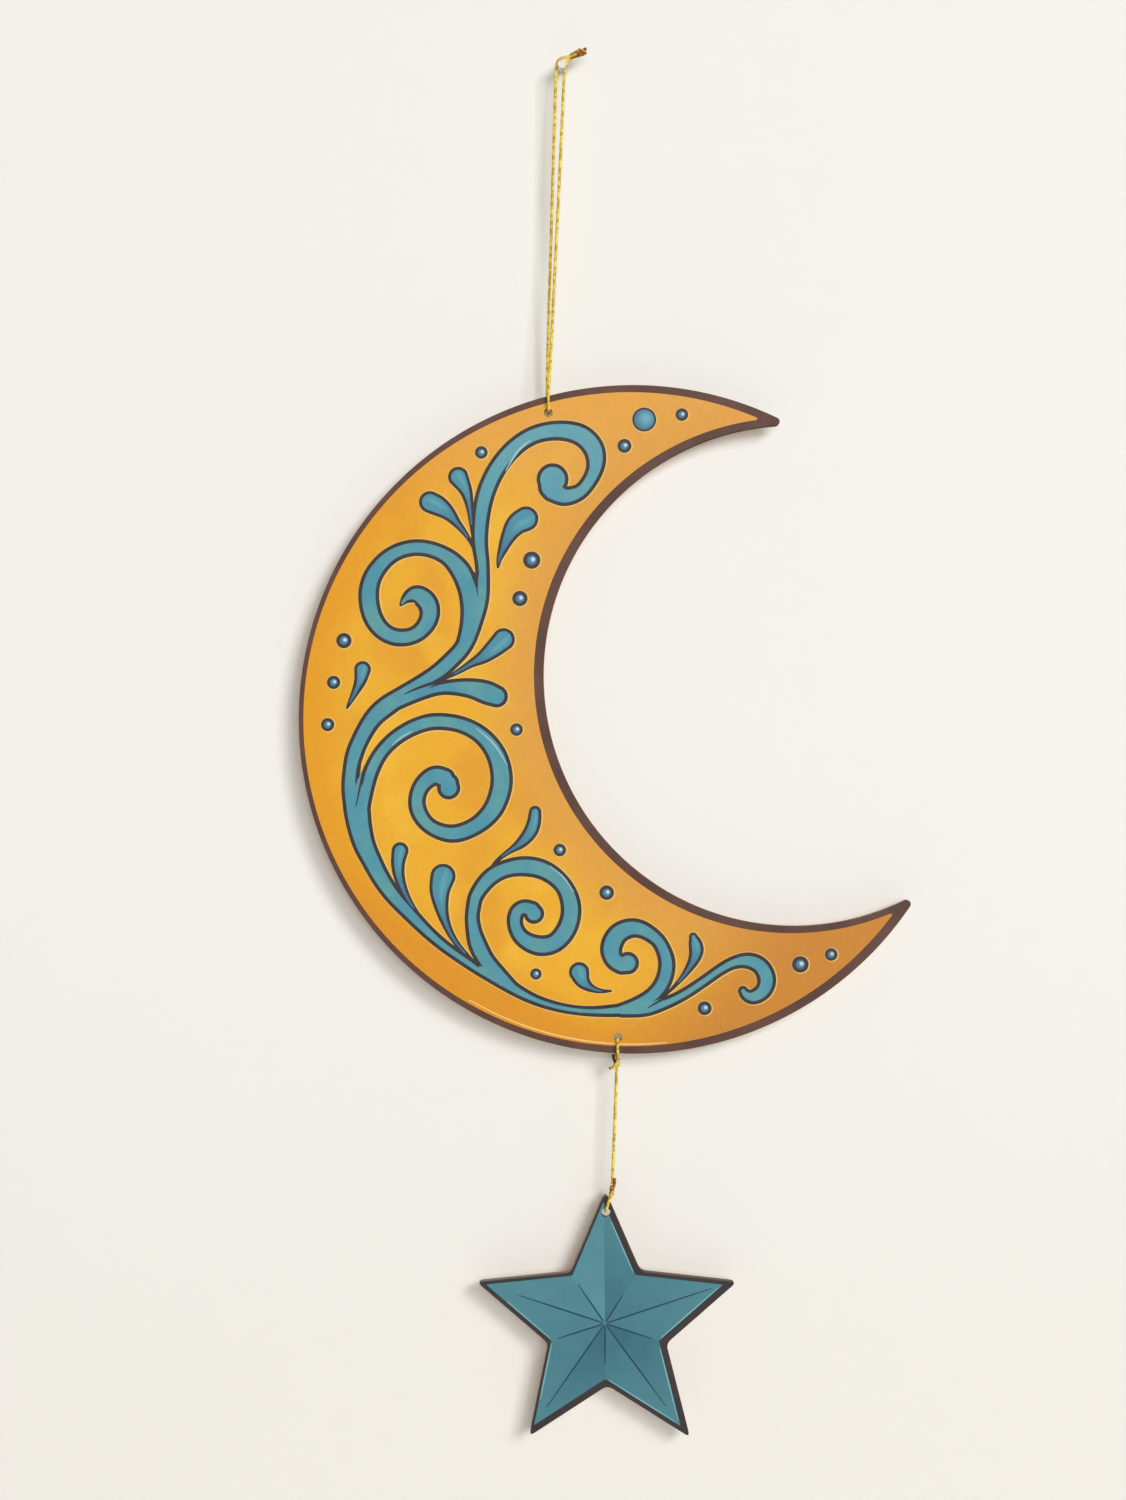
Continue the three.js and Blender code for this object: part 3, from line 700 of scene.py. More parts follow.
@dataclass(frozen=True)
class FacetInk:
    """Ink of the star's painted facets: each an even teal, paler out towards the edge."""

    name: str = "star_facet_print"
    dark: str = "#2f6070"
    light: str = "#57929e"
    edge: str = "#4f8791"

    def make(self) -> Material:
        """Builds the material."""
        material, tree, surface = new_material(self.name)
        place = add_node(tree, "ShaderNodeUVMap", uv_map="facet").outputs[0]
        parts = add_node(tree, "ShaderNodeSeparateXYZ", {"Vector": place})
        uneven = {"Value": grain(tree, 7.0, 3.0), "To Min": -0.22, "To Max": 0.22}
        cloud = add_node(tree, "ShaderNodeMapRange", uneven)
        both = {0: parts.outputs["X"], 1: cloud.outputs[0]}
        level = add_node(tree, "ShaderNodeMath", both, operation="ADD", use_clamp=True)
        tone = lay_coats(tree, self.dark, [
            Coat(level.outputs[0], 0.0, 1.0, self.light),
            Coat(parts.outputs["Y"], 0.15, 0.8, self.edge, 0.75),
        ])
        tree.links.new(tone, surface.inputs["Base Color"])
        return material


@dataclass(frozen=True)
class DropInk:
    """Ink of a painted teardrop: blue teal, darker towards its tail, with a pale touch of light."""

    name: str = "teardrop_print"
    body: str = "#4a8fa2"
    deep: str = "#3c6888"
    light: str = "#62a7b6"

    def make(self) -> Material:
        """Builds the material."""
        material, tree, surface = new_material(self.name)
        away = place = add_node(tree, "ShaderNodeUVMap", uv_map="stroke").outputs[0]
        along = add_node(tree, "ShaderNodeSeparateXYZ", {"Vector": place}).outputs["X"]
        for how, value in (("SUBTRACT", (0.22, 0.62, 0)), ("MULTIPLY", (4.5, 5.0, 0))):
            measured = {0: away, 1: value}
            away = add_node(tree, "ShaderNodeVectorMath", measured, operation=how).outputs[0]
        far = add_node(tree, "ShaderNodeVectorMath", {0: away}, operation="LENGTH")
        tone = lay_coats(tree, self.body, [
            Coat(along, 0.25, 0.85, self.deep, soft=True),
            Coat(far.outputs["Value"], 1.3, 0.2, self.light, 0.6, True),
        ])
        tree.links.new(tone, surface.inputs["Base Color"])
        return material


@dataclass(frozen=True)
class DotInk:
    """Ink of a painted bead: a dark ring, a teal middle and a pale glint up to the right."""

    name: str
    ring: str = "#322e34"
    middle: str = "#467b96"
    glint: str = "#c8dfde"
    ring_from: float = 0.53
    glint_size: float = 0.38

    def make(self) -> Material:
        """Builds the material."""
        material, tree, surface = new_material(self.name)
        place = add_node(tree, "ShaderNodeUVMap", uv_map="stroke").outputs[0]
        reach, glint = (
            add_node(tree, "ShaderNodeVectorMath", {0: place, 1: spot}, operation="DISTANCE")
            for spot in ((0.5, 0.5, 0), (0.57, 0.55, 0))
        )
        inner, outer = self.ring_from / 2 - 0.03, self.ring_from / 2 + 0.03
        tone = lay_coats(tree, self.middle, [
            Coat(glint.outputs["Value"], self.glint_size / 2, 0.04, self.glint, soft=True),
            Coat(reach.outputs["Value"], inner, outer, self.ring),
        ])
        tree.links.new(tone, surface.inputs["Base Color"])
        return material


@dataclass(frozen=True)
class GoldCord:
    """Metallised film wound round a core: bright gold yarn flecked at random with a duller gold; the
    brown in its hollows is the core's painted shade.
    """

    name: str = "gold_film_yarn"
    bright: str = "#f0da58"
    dull: str = "#b8932b"
    film_mm: float = 1.1

    def make(self) -> Material:
        """Builds the material."""
        material, tree, surface = new_material(self.name, 0.35, 0.5)
        film = Coat(grain(tree, self.film_mm, 2.0), 0.4, 0.58, self.bright)
        tree.links.new(lay_coats(tree, self.dull, [film]), surface.inputs["Base Color"])
        surface.inputs["Metallic"].default_value = 0.5
        return material


@dataclass(frozen=True)
class Yarn:
    """One round yarn: its middle line, its radius in mm and the finish it takes."""

    line: Sequence[Vector]
    radius: float
    finish: int = 0


@dataclass(frozen=True)
class Tail:
    """A cut end of cord that stands out of a knot: its points in mm and its finish."""

    points: tuple[Point, ...]
    finish: int = 0


@dataclass
class CordMaker:
    """Twisted gold cord with a dark core, whose brown shows as painted shade in the hollows between the
    plies, and its wound knots, in mm.

    The materials are those of the bright plies, the dark core that paints the shade in the hollows, and
    the darker plies of a knot.
    """

    materials: list[Material]
    diameter: float = 1.0
    plies: int = 3
    pitch: float = 2.1
    ply: float = 0.46
    core: float = 0.58
    wound_pitch: float = 0.85
    steps_per_winding: int = 14
    cut_end: float = 0.94

    def twist(self, route: Sequence[Vector], finish: int = 0) -> list[Yarn]:
        """Winds the plies round a route, over their core.

        Args:
            route: the cord's own middle line.
            finish: the finish of its plies.

        Returns:
            One yarn for each ply and one for the core.
        """
        steps_per_turn = 9
        length = sum((b - a).length for a, b in zip(route, route[1:]))
        count = max(8, round(length / self.pitch * steps_per_turn))
        spots = evenly(route, count)
        aside = Vector((0.3, 0.9, 0.1)).cross(spots[1] - spots[0]).normalized()
        lines: list[list[Vector]] = [[] for _ in range(self.plies)]
        swing = (self.diameter - self.ply) / 2
        for i, spot in enumerate(spots):
            heading = (spots[min(i + 1, count)] - spots[max(i - 1, 0)]).normalized()
            aside = (aside - heading * aside.dot(heading)).normalized()
            other = heading.cross(aside)
            for k, line in enumerate(lines):
                turn = 2 * math.pi * (i / steps_per_turn + k / self.plies)
                line.append(spot + (aside * math.cos(turn) + other * math.sin(turn)) * swing)
        plies = [Yarn(line, self.ply / 2, finish) for line in lines]
        # The core takes the second finish, a dark brown that paints the shade in the hollows between
        # the plies.
        return [*plies, Yarn(spots, self.core / 2, 1)]

    def tube(self, name: str, yarns: Sequence[Yarn]) -> Object:
        """Sweeps every yarn along its line.

        Args:
            name: the piece's name.
            yarns: the yarns.

        Returns:
            One mesh piece.
        """
        curve = bpy.data.curves.new(name + "_line", "CURVE")
        curve.dimensions = "3D"
        curve.bevel_depth = MM
        curve.bevel_resolution = 2
        curve.use_fill_caps = True
        for material in self.materials:
            curve.materials.append(material)
        for yarn in yarns:
            spline = curve.splines.new("POLY")
            spline.material_index = yarn.finish
            spline.points.add(len(yarn.line) - 1)
            for point, spot in zip(spline.points, yarn.line):
                point.co = (spot.x * MM, spot.y * MM, spot.z * MM, 1)
                point.radius = yarn.radius
        drawn = add_object(name + "_drawn", curve)
        mesh = evaluated_mesh(drawn)
        mesh.name = name
        bpy.data.objects.remove(drawn)
        bpy.data.curves.remove(curve)
        mesh.shade_smooth()
        return add_object(name, mesh)

    def cord(self, name: str, knots: Sequence[Point]) -> tuple[Object, list[Vector]]:
        """Makes a twisted cord through the given points.

        Args:
            name: the piece's name.
            knots: the points of its route, in mm.

        Returns:
            The piece and the route that it follows.
        """
        route = smooth_route([Vector(k) for k in knots], 8)
        return self.tube(name, self.twist(route)), route

    def knot(
        self, name: str, ends: tuple[Point, Point], girth: Spot, tails: Sequence[Tail], finish: int = 0
    ) -> Object:
        """Winds the cord tightly round itself, and lets its cut tails stand out.

        Args:
            name: the piece's name.
            ends: where the winding starts and ends.
            girth: how far the wound cord lies from the middle at each end.
            tails: its cut ends, each from where it leaves the knot.
            finish: the finish of the wound plies.

        Returns:
            One mesh piece.
        """
        start, end = Vector(ends[0]), Vector(ends[1])
        axis = end - start
        side = axis.cross(Vector((0, 1, 0))).normalized()
        other = side.cross(axis).normalized()
        turns = axis.length / self.wound_pitch
        count = round(turns * self.steps_per_winding)
        wound = []
        for i in range(count + 1):
            share = i / count
            angle = 2 * math.pi * turns * share
            reach = girth[0] + (girth[1] - girth[0]) * share
            spoke = side * math.cos(angle) + other * math.sin(angle)
            wound.append(start + axis * share + spoke * reach)
        yarns = [*self.twist(wound, finish), *self.twist([start, start.lerp(end, 0.5), end])]
        for tail in tails:
            way = smooth_route([Vector(k) for k in tail.points], 6)
            yarns += self.twist(way, tail.finish)
            tip = (way[-1] - way[-2]).normalized() * self.diameter * 0.3
            yarns.append(Yarn([way[-1] - tip, way[-1] + tip * 0.3], self.cut_end / 2, 1))
        return self.tube(name, yarns)

    def declare(self, cord: Object, line: Sequence[Vector], length: float, knot: Object) -> None:
        """Takes how long a free cord is and which knot it ends in, and does nothing with them.

        Args:
            cord: the cord; not used.
            line: the route that it follows; not used.
            length: its real length; not used.
            knot: the knot at its far end; not used.
        """


def evenly(route: Sequence[Vector], count: int) -> list[Vector]:
    """Spaces points evenly along a line.

    Args:
        route: the line's points.
        count: how many even stretches it is cut into.

    Returns:
        One more point than there are stretches.
    """
    reach = [0.0]
    for a, b in zip(route, route[1:]):
        reach.append(reach[-1] + (b - a).length)
    spots, j = [], 0
    for i in range(count + 1):
        want = reach[-1] * i / count
        while j < len(route) - 2 and reach[j + 1] < want:
            j += 1
        share = (want - reach[j]) / max(reach[j + 1] - reach[j], 1e-9)
        spots.append(route[j].lerp(route[j + 1], min(share, 1.0)))
    return spots


@dataclass
class Hanger:
    """The cord loop that the moon hangs on, and the knot that closes it, in mm."""

    maker: CordMaker
    length: float = 228.0
    knot_ends: tuple[Point, Point] = ((2.4, 0.0, 1.35), (6.1, 0.0, 3.1))
    knot_girth: Spot = (0.42, 0.9)
    route: tuple[Point, ...] = (
        (4.25, -0.65, 1.95), (2.6, -0.65, 1.35), (0.9, -0.5, 0.9), (-0.6, -0.3, 0.45),
        (-1.4, -0.1, -0.7), (-1.6, 0, -2.6), (-1.55, 0.1, -12), (-1.3, 0.8, -45.5), (-0.9, 1.9, -87.9),
        (-0.7, 2.35, -97.9), (-0.5, 2.45, -102.4), (-0.3, 2.35, -104.2), (-0.1, 1.6, -105.1),
        (0, 0.75, -105.35), (0, -0.75, -105.35), (0, -2, -105.1), (0, -2.75, -103.9),
        (-0.15, -2.9, -102), (-0.15, -2.75, -97.9), (0.05, -2, -87.9), (0.5, -0.7, -45.5),
        (0.8, 0, -12), (0.86, 0.35, -3.4), (1.05, 0.6, -1.5), (1.7, 0.7, -0.1), (2.9, 0.65, 1.05),
        (4.25, 0.65, 1.75)
    )

    def build(self) -> None:
        """Makes the loop and its knot."""
        gold = self.maker.materials
        knot = self.maker.knot(
            "hanger_knot_tied", self.knot_ends, self.knot_girth,
            [
                Tail(((5.7, -0.3, 3.0), (6.5, -0.45, 3.5), (7.1, -0.5, 3.8)), 2),
                Tail(((5.7, 0.4, 2.9), (6.5, 0.5, 2.9), (7.1, 0.5, 2.7)), 2)
            ],
            2
        )
        finish_piece(knot, "hanger", gold, ["hanger_knot"])
        loop, line = self.maker.cord("hanger_cord_twisted", self.route)
        finish_piece(loop, "hanger", gold, ["hanger_cord"])
        self.maker.declare(loop, line, self.length, knot)


@dataclass
class StarCord:
    """The short cord between the moon and the star, with a loop and a knot at each end, in mm."""

    maker: CordMaker
    top: Spot = (28.006, -291.522)
    star_hole: Spot = (26.37, -344.26)
    upper_knot: Point = (27.906, 0.0, -299.422)
    lower_knot: Point = (28.006, 0.0, -337.122)
    upper_wound: tuple[Point, Point] = ((27.95, 0.0, -298.3), (27.85, 0.0, -300.6))
    lower_wound: tuple[Point, Point] = ((28.1, 0.0, -336.4), (27.85, 0.0, -339.0))
    strand_length: float = 34.9

    def loop_route(self, hole: Spot, knot: Point, bight: float, rim: float) -> list[Point]:
        """The route of a loop from a knot through a hole and back.

        Args:
            hole: the hole's middle as x and z.
            knot: the knot's middle.
            bight: how far from the hole's middle the cord bears.
            rim: how far the board reaches from the hole's middle towards the knot.

        Returns:
            The route's points.
        """
        kx, kz = knot[0] - hole[0], knot[2] - hole[1]
        way = math.copysign(1, kz)
        front, back, reach, gap = -2.75, 2.35, way * rim, way * 1.15
        spots = (
            (kx + 0.15, -1.2, kz - gap), (kx + 0.1, front + 0.3, reach + way * 0.7),
            (kx * 0.7 + 0.1, front, reach - way * 0.3), (kx * 0.4, front, reach * 0.6),
            (kx * 0.15, front + 0.15, reach * 0.32), (0, front + 0.7, way * (bight + 0.25)),
            (0, -0.9, way * bight), (0, 0.6, way * bight),
            (kx * 0.15, back - 0.6, way * (bight + 0.25)), (kx * 0.4, back, reach * 0.4),
            (kx * 0.8, back, reach - way * 0.6), (kx - 0.1, back - 0.1, reach + way * 0.6),
            (kx - 0.15, 1.2, kz - gap)
        )
        return [(hole[0] + x, y, hole[1] + z) for x, y, z in spots]

    def build(self) -> None:
        """Makes both loops, both knots and the strand between them."""
        gold = self.maker.materials
        upper, _ = self.maker.cord(
            "link_loop_twisted", self.loop_route(self.top, self.upper_knot, 0.45, 4.9)
        )
        finish_piece(upper, "link", gold, ["link_loop"])
        upper_knot = self.maker.knot(
            "link_knot_tied", self.upper_wound, (0.5, 0.55),
            [
                Tail(((27.5, -0.3, -300.2), (26.7, -0.45, -300.8), (25.8, -0.5, -301.2))),
                Tail(((27.5, -1, -298.9), (27, -2.1, -298.3), (26.85, -2.6, -297.6),
                      (26.8, -2.6, -296.7)), 1),
            ],
        )
        finish_piece(upper_knot, "link", gold, ["link_knot"])
        lower, _ = self.maker.cord(
            "star_loop_twisted", self.loop_route(self.star_hole, self.lower_knot, 0.55, 5.6)
        )
        finish_piece(lower, "star", gold, ["star_loop"])
        lower_knot = self.maker.knot(
            "star_knot_tied", self.lower_wound, (0.4, 0.36),
            [Tail(((28.2, -0.5, -337.2), (28.6, -0.6, -336), (28.65, -0.6, -334.1)), 2)], 2
        )
        finish_piece(lower_knot, "swivel", gold, ["star_knot"])
        first = Vector(self.upper_knot) - Vector((-0.1, 0, 1.4))
        last = Vector(self.lower_knot) + Vector((0, 0, 1.4))
        spots = [tuple(first.lerp(last, i / 15)) for i in range(16)]
        strand, line = self.maker.cord("link_strand_twisted", spots)
        finish_piece(strand, "strand", gold, ["link_strand"])
        self.maker.declare(strand, line, self.strand_length, lower_knot)


@dataclass(frozen=True)
class Stroke:
    """A brush stroke: spots of x, z and half-width from the moon's middle, in mm."""

    knots: tuple[Point, ...]

    def spine(self, inset: float) -> list[Vector]:
        """The stroke's middle line with its half-width, thinner by the inset on each side.

        Args:
            inset: how far its edge moves in, at most a good six tenths of the half-width.

        Returns:
            Points of x, z and half-width.
        """
        line = smooth_route([Vector(k) for k in self.knots], 6)
        for _ in range(4):
            inner = [(a + 2 * b + c) / 4 for a, b, c in zip(line, line[1:], line[2:])]
            line = [line[0], *inner, line[-1]]
        thin = [Vector((p.x, p.y, p.z - min(inset, p.z * MOST_INSET))) for p in line]
        return [p for p in thin if p.z > (INSET_END if inset > 0 else PLAIN_END)]

    def ribbon(
        self, bm: BMesh, middle: Spot, ink: Ink, inset: float = 0.0, shift: Spot = (0.0, 0.0)
    ) -> list[BMFace]:
        """Bends a strip along the stroke, with round ends, and makes it a thin plate.

        Args:
            bm: the shape it joins.
            middle: the moon's middle.
            ink: the layer it lies in.
            inset: how far its edge moves in.
            shift: how far it is moved.

        Returns:
            All the plate's faces.
        """
        spine = self.spine(inset)
        rows: list[tuple[Vector, Vector, float]] = []
        cap = 5
        for i, spot in enumerate(spine):
            after, before = spine[min(i + 1, len(spine) - 1)], spine[max(i - 1, 0)]
            heading = Vector((after.x - before.x, after.y - before.y)).normalized()
            at = Vector((spot.x, spot.y))
            turns = [0.0]
            if i == 0:
                turns = [-90 * (cap - k) / cap for k in range(cap + 1)]
            if i == len(spine) - 1:
                turns = [90 * k / cap for k in range(cap + 1)]
            for turn in turns:
                swing = math.radians(turn)
                half = spot.z * max(math.cos(swing), 0.03)
                rows.append((at + heading * spot.z * math.sin(swing), heading, half))
        count = len(rows) - 1
        first = len(bm.faces)
        made = bmesh.ops.create_grid(bm, x_segments=count, y_segments=2, size=1.0, calc_uvs=True)
        back, front = ink.value
        for vert in made["verts"]:
            at, heading, half = rows[round((vert.co.x + 1) / 2 * count)]
            side = Vector((-heading.y, heading.x)) * half * vert.co.y
            spot = at + side + Vector(middle) + Vector(shift)
            vert.co = (spot.x, -back, spot.y)
        bm.faces.ensure_lookup_table()
        thicken(bm, bm.faces[first:], front - back)
        bm.faces.ensure_lookup_table()
        return bm.faces[first:]


SCROLL = (
    Stroke((
        (-49.3, 22, 1.8), (-47.6, 28.5, 2.1), (-46.5, 34, 2.2), (-46.4, 38.5, 2.15),
        (-46.6, 42, 2.2),
        (-46.95, 45.5, 2.3), (-47.8, 50.5, 2.5), (-47.9, 57, 2.7),
        (-46.9, 65, 2.9), (-43.8, 73, 2.93), (-38.6, 79.9, 2.85), (-32.4, 84.1, 2.85),
        (-25, 85.5, 3.05), (-18.7, 84.3, 3.4), (-15, 80.7, 3.4), (-14, 76.8, 3.05),
        (-14.7, 72.9, 2.6), (-17.7, 68, 2.5), (-20.4, 66.4, 2.8), (-23.5, 65.9, 3.1),
        (-26.6, 67.6, 3.8),
    )),
    Stroke((
        (-51.5, 20, 2.6), (-50.2, 25, 2.9), (-50.2, 30, 2.65), (-50.6, 34, 2.7),
        (-51.2, 38, 3.2), (-53.1, 42.3, 3.35), (-57.8, 46.8, 2.7),
        (-66, 49, 2.55), (-73.9, 46.6, 2.6), (-79.3, 40.2, 2.95), (-80.5, 34, 3.15),
        (-78.8, 27.1, 3.1), (-75.1, 23, 2.85), (-70.6, 21.7, 2.75), (-65.6, 23, 2.7),
        (-62.4, 26.9, 3), (-62, 30.5, 3.2), (-63.3, 33.2, 3.3), (-66.3, 34.9, 2.9),
        (-69, 33.7, 1.8), (-70.6, 31.7, 0.6),
    )),
    Stroke((
        (-48.3, 36, 2.8), (-48.6, 32.5, 3.3), (-49, 29, 3.4), (-49.7, 24.8, 3.1),
        (-51.6, 19.6, 2.8), (-55, 15.6, 2.8), (-58.9, 11.8, 2.75), (-64, 8.5, 2.4),
        (-69.7, 4.1, 3.05),
        (-74.2, 0.8, 3.3), (-77.9, -2.9, 3), (-81.3, -9.3, 2.8), (-82.9, -13.8, 2.8),
        (-83.7, -18.7, 2.6), (-83.7, -24, 2.8), (-81.7, -29, 4.1), (-80.8, -34, 3.9),
        (-79, -40.3, 3.5), (-76.8, -44.6, 3.2), (-73.5, -50.4, 2.95), (-69.7, -55.4, 2.7),
        (-64.2, -60.9, 2.4), (-59, -65.8, 2.1), (-54, -69.8, 1.9), (-49.3, -72.9, 1.85),
        (-44.2, -76, 1.85), (-36.6, -79.5, 2.4), (-28.9, -83.8, 1.85), (-20, -86.7, 1.55),
        (-10, -87.8, 1.55), (0, -87, 2.1), (7, -86.2, 2.1),
    )),
    Stroke((
        (-72, 1.6, 2.4), (-69, 3.3, 2.5), (-63, 5.4, 2), (-58, 7.1, 2.1), (-53, 7.6, 2.6),
        (-48, 7.3, 3.2), (-44, 6.3, 3.7), (-41, 5.3, 3.4),
    )),
    Stroke((
        (-80.4, -33, 3), (-79.6, -28.8, 2.3), (-78.8, -23.5, 2.4), (-77.6, -18.3, 2.5),
        (-74.8, -12.6, 2.4), (-69.6, -7.3, 2.5), (-62, -3.4, 2.6), (-56, -2.85, 2.6),
        (-49.8, -4, 2.65), (-44.4, -7.1, 2.85), (-40.2, -12.5, 3.2), (-38.5, -19.3, 3.4),
        (-39.2, -24.5, 3.35), (-41.2, -29.2, 3.2), (-45.9, -33.8, 2.85), (-52.8, -36.4, 2.8),
        (-59.6, -34.3, 2.5), (-62.9, -30.3, 2.7), (-63.7, -26.4, 2.65), (-62.3, -22, 2.8),
        (-58.6, -19, 3.1), (-55.6, -19.8, 3.3),
    )),
    Stroke((
        (-33, -81.3, 2), (-38, -77.2, 2.8), (-41.3, -73.6, 2.9), (-43.8, -69.2, 3),
        (-45.1, -65.2, 2.55), (-45.8, -61, 2.3),
        (-45.5, -57.6, 2.35), (-44.9, -54.5, 2.45), (-41, -48.9, 2.8),
        (-36.2, -46.1, 2.8), (-30.3, -45.1, 3.1), (-24.4, -46.2, 3.05), (-19, -50.3, 2.8),
        (-16.6, -55.3, 3.1), (-16.4, -60, 3.15), (-18, -64.5, 3.2), (-21.3, -68, 3.1),
        (-26, -68.7, 3.15), (-30.8, -66.5, 2.7), (-32.7, -63.4, 2.5), (-33, -60.8, 2.5),
        (-32.3, -58.6, 2.5), (-30.3, -57.5, 2.6), (-28, -58.2, 2.9),
    )),
    Stroke((
        (-2, -87, 1.6), (3, -85.7, 2.3), (8.6, -82.7, 2.6), (11.9, -78.4, 2.65),
        (13, -72.5, 2.65), (11.1, -67.3, 2.4), (9, -64.9, 2.45), (3.5, -62.2, 2.9),
        (-1.8, -63.9, 3.3), (-4, -68.6, 3.4), (-2.9, -72.1, 3.1), (-0.6, -73.4, 3.1),
    )),
    Stroke((
        (0, -87.2, 2.1), (7, -86.8, 2.05), (12.5, -84.7, 1.95), (17.9, -81.9, 1.87),
        (24, -77.6, 1.85), (29.5, -73.4, 1.9), (33.5, -71.3, 2.1), (37.6, -70.8, 2.6),
        (41.1, -72.4, 2.8), (43, -76.2, 2.9), (42, -79.7, 2.7), (39, -81.6, 2.4),
        (36.9, -81, 1.95), (36, -79.9, 1.6),
    )),
)
PIPS: tuple[Point, ...] = (
    (-26.8, 70.8, 4.8), (-27, 68.6, 4.15), (-54.3, -22.6, 3.5), (-54.2, -21.2, 3.05),
    (-27.4, -59.2, 3.1), (1.2, -72.9, 3.4), (0.2, -73.2, 3.2)
)
MERGES = (
    Stroke(((-49.9, 40.1, 0.26), (-49.6, 38.7, 0.6), (-49.2, 37, 0.85), (-48.9, 34.5, 1),
            (-48.9, 31, 1.6))),
    Stroke(((-47.05, 43.6, 0.3), (-47.2, 41.6, 0.5), (-47.3, 39.6, 0.65), (-47.15, 37.4, 0.75),
            (-47, 35, 0.85), (-47.6, 31, 1.4))),
    Stroke(((-59.4, 8.8, 0.4), (-62, 7.8, 0.9), (-66, 6, 1.3), (-70, 3.6, 1.6))),
    Stroke(((-80.45, -18.7, 0.2), (-80.8, -20.4, 0.55), (-81.1, -23.2, 0.95), (-81, -28, 1.6),
            (-80.6, -33, 2.2))),
    Stroke(((-42.6, -76, 0.5), (-40, -77.4, 1.1), (-36, -79.6, 1.6))),
    Stroke(((12.4, -83.2, 0.4), (10, -84.6, 0.8), (6, -86, 1.1), (2, -86.7, 1.2))),
)
BUDS = {
    "bud_crown_upper": Stroke((
        (-55, 70.4, 3.1), (-52.6, 66.5, 2), (-51.5, 62.8, 1.35), (-50.9, 59.3, 0.95),
        (-50.3, 55, 0.6), (-49.6, 50.5, 0.3),
    )),
    "bud_crown_lower": Stroke((
        (-63.2, 62.6, 3.3), (-60.4, 61.4, 3.1), (-57.5, 59.4, 2.25), (-55.1, 56.8, 1.4),
        (-52.6, 54, 0.9), (-50.5, 51, 0.55), (-49.4, 48.2, 0.25),
    )),
    "bud_waist": Stroke((
        (-39.6, 22.4, 3.4), (-42.4, 19.6, 2.85), (-45.5, 16.9, 2.1), (-49, 14.8, 1.25),
        (-53, 12.1, 0.8), (-57.5, 9.5, 0.3),
    )),
    "bud_left_small": Stroke((
        (-68.1, -41.9, 2.55), (-68.6, -45.4, 2.15), (-68.2, -49.3, 1.75), (-66.8, -53.3, 1.35),
        (-64.6, -57.3, 0.95), (-62.2, -60.2, 0.5),
    )),
    "bud_left_large": Stroke((
        (-55, -49.1, 3.8), (-55.8, -53, 3.2), (-55.4, -57, 2.4), (-54.4, -61, 1.7),
        (-52.7, -65, 1.2), (-50.3, -68.8, 0.95), (-47, -72.3, 0.7), (-43.5, -75.6, 0.3),
    )),
    "bud_ring": Stroke((
        (-28.2, -28.8, 1.9), (-28.4, -31.9, 2.15), (-29.4, -34.9, 2.2), (-32.1, -38.3, 1.7),
        (-34.6, -40.2, 1.05), (-37, -42, 0.75), (-39.4, -44.2, 0.6), (-41, -46.6, 0.5),
    )),
    "bud_foot": Stroke((
        (20.5, -64.3, 1.35), (21.1, -66, 2.05), (21.6, -68.3, 2.25), (21, -71, 1.8),
        (19.4, -74, 1.25), (17.4, -77, 0.8), (15, -79.8, 0.55), (12.5, -82.4, 0.35),
    )),
}
DROPS = {
    "drop_upper": Stroke((
        (-34.3, 58.7, 3.75), (-36.9, 57.1, 3.4), (-39.2, 53.6, 2.4), (-40.9, 49.2, 1.5),
        (-41.9, 46, 0.8), (-42.1, 43.9, 0.4),
    )),
    "drop_left": Stroke((
        (-81.4, 11.8, 2.55), (-81.9, 8.5, 1.9), (-83.3, 5, 1.2), (-84.8, 1.8, 0.7),
        (-85.6, 0.1, 0.35),
    )),
    "drop_lower": Stroke((
        (-13.2, -76.2, 3.1), (-12, -78.9, 2.3), (-9.5, -80.8, 1.25), (-6.3, -81.6, 0.7),
        (-3.5, -81.4, 0.35),
    )),
}
CREASES = (
    Stroke(((-49.1, 42, 0.2), (-48.75, 40.6, 0.28), (-48.4, 38.8, 0.28), (-47.85, 35.4, 0.13))),
    Stroke(((-56.6, 9.7, 0.5), (-60.9, 8.3, 0.45), (-65, 6.7, 0.35), (-68.6, 4.9, 0.14))),
    Stroke(((-80.95, -15.2, 0.3), (-81.15, -17.5, 0.4), (-81.3, -20.6, 0.13))),
    Stroke(((-78.9, -15.9, 0.3), (-79.7, -18, 0.42), (-80.7, -22.8, 0.34), (-81.8, -29.2, 0.13))),
    Stroke(((-46.5, -72.7, 0.6), (-44.7, -74.5, 0.45), (-43.3, -75.8, 0.15))),
    Stroke(((13.6, -82.4, 0.4), (10.7, -84.1, 0.35), (7.8, -86, 0.14)))
)
GLEAMS = (
    Stroke(((-40.9, 72.8, 0.13), (-38.3, 77.6, 0.35), (-36.4, 80, 0.35), (-33.9, 82.2, 0.13))),
    Stroke(((-71.6, -10.4, 0.13), (-69, -8, 0.28), (-66, -6.2, 0.13))),
    Stroke(((-46.6, -4.6, 0.13), (-41.3, -8.9, 0.25), (-37, -15.2, 0.13))),
    Stroke(((-23.2, -44.8, 0.13), (-19, -47.9, 0.25), (-15.8, -52.2, 0.13)))
)
RIM_GLINT = Stroke(tuple((*polar(242 + 6 * i, 97.2), 0.2 if 0 < i < 6 else FINE_END) for i in range(7)))
DOTS: tuple[Point, ...] = (
    (11.1, 91.6, 1.9), (-0.1, 89.7, 3.6), (-5.7, 81.6, 2.1), (-48.4, 78, 1.9), (-32.1, 46.4, 2.6),
    (-35.2, 34.8, 2.3), (-87.3, 20.2, 2.3), (-89.9, 7.6, 2), (-91.2, -5.1, 2), (-34.7, -4.4, 1.9),
    (-20.4, -39.9, 1.9), (-5.9, -52.1, 2.2), (-26.1, -77.2, 1.7), (24.7, -85.5, 2.1),
    (52.8, -71.3, 2.5), (61.9, -68, 1.9)
)


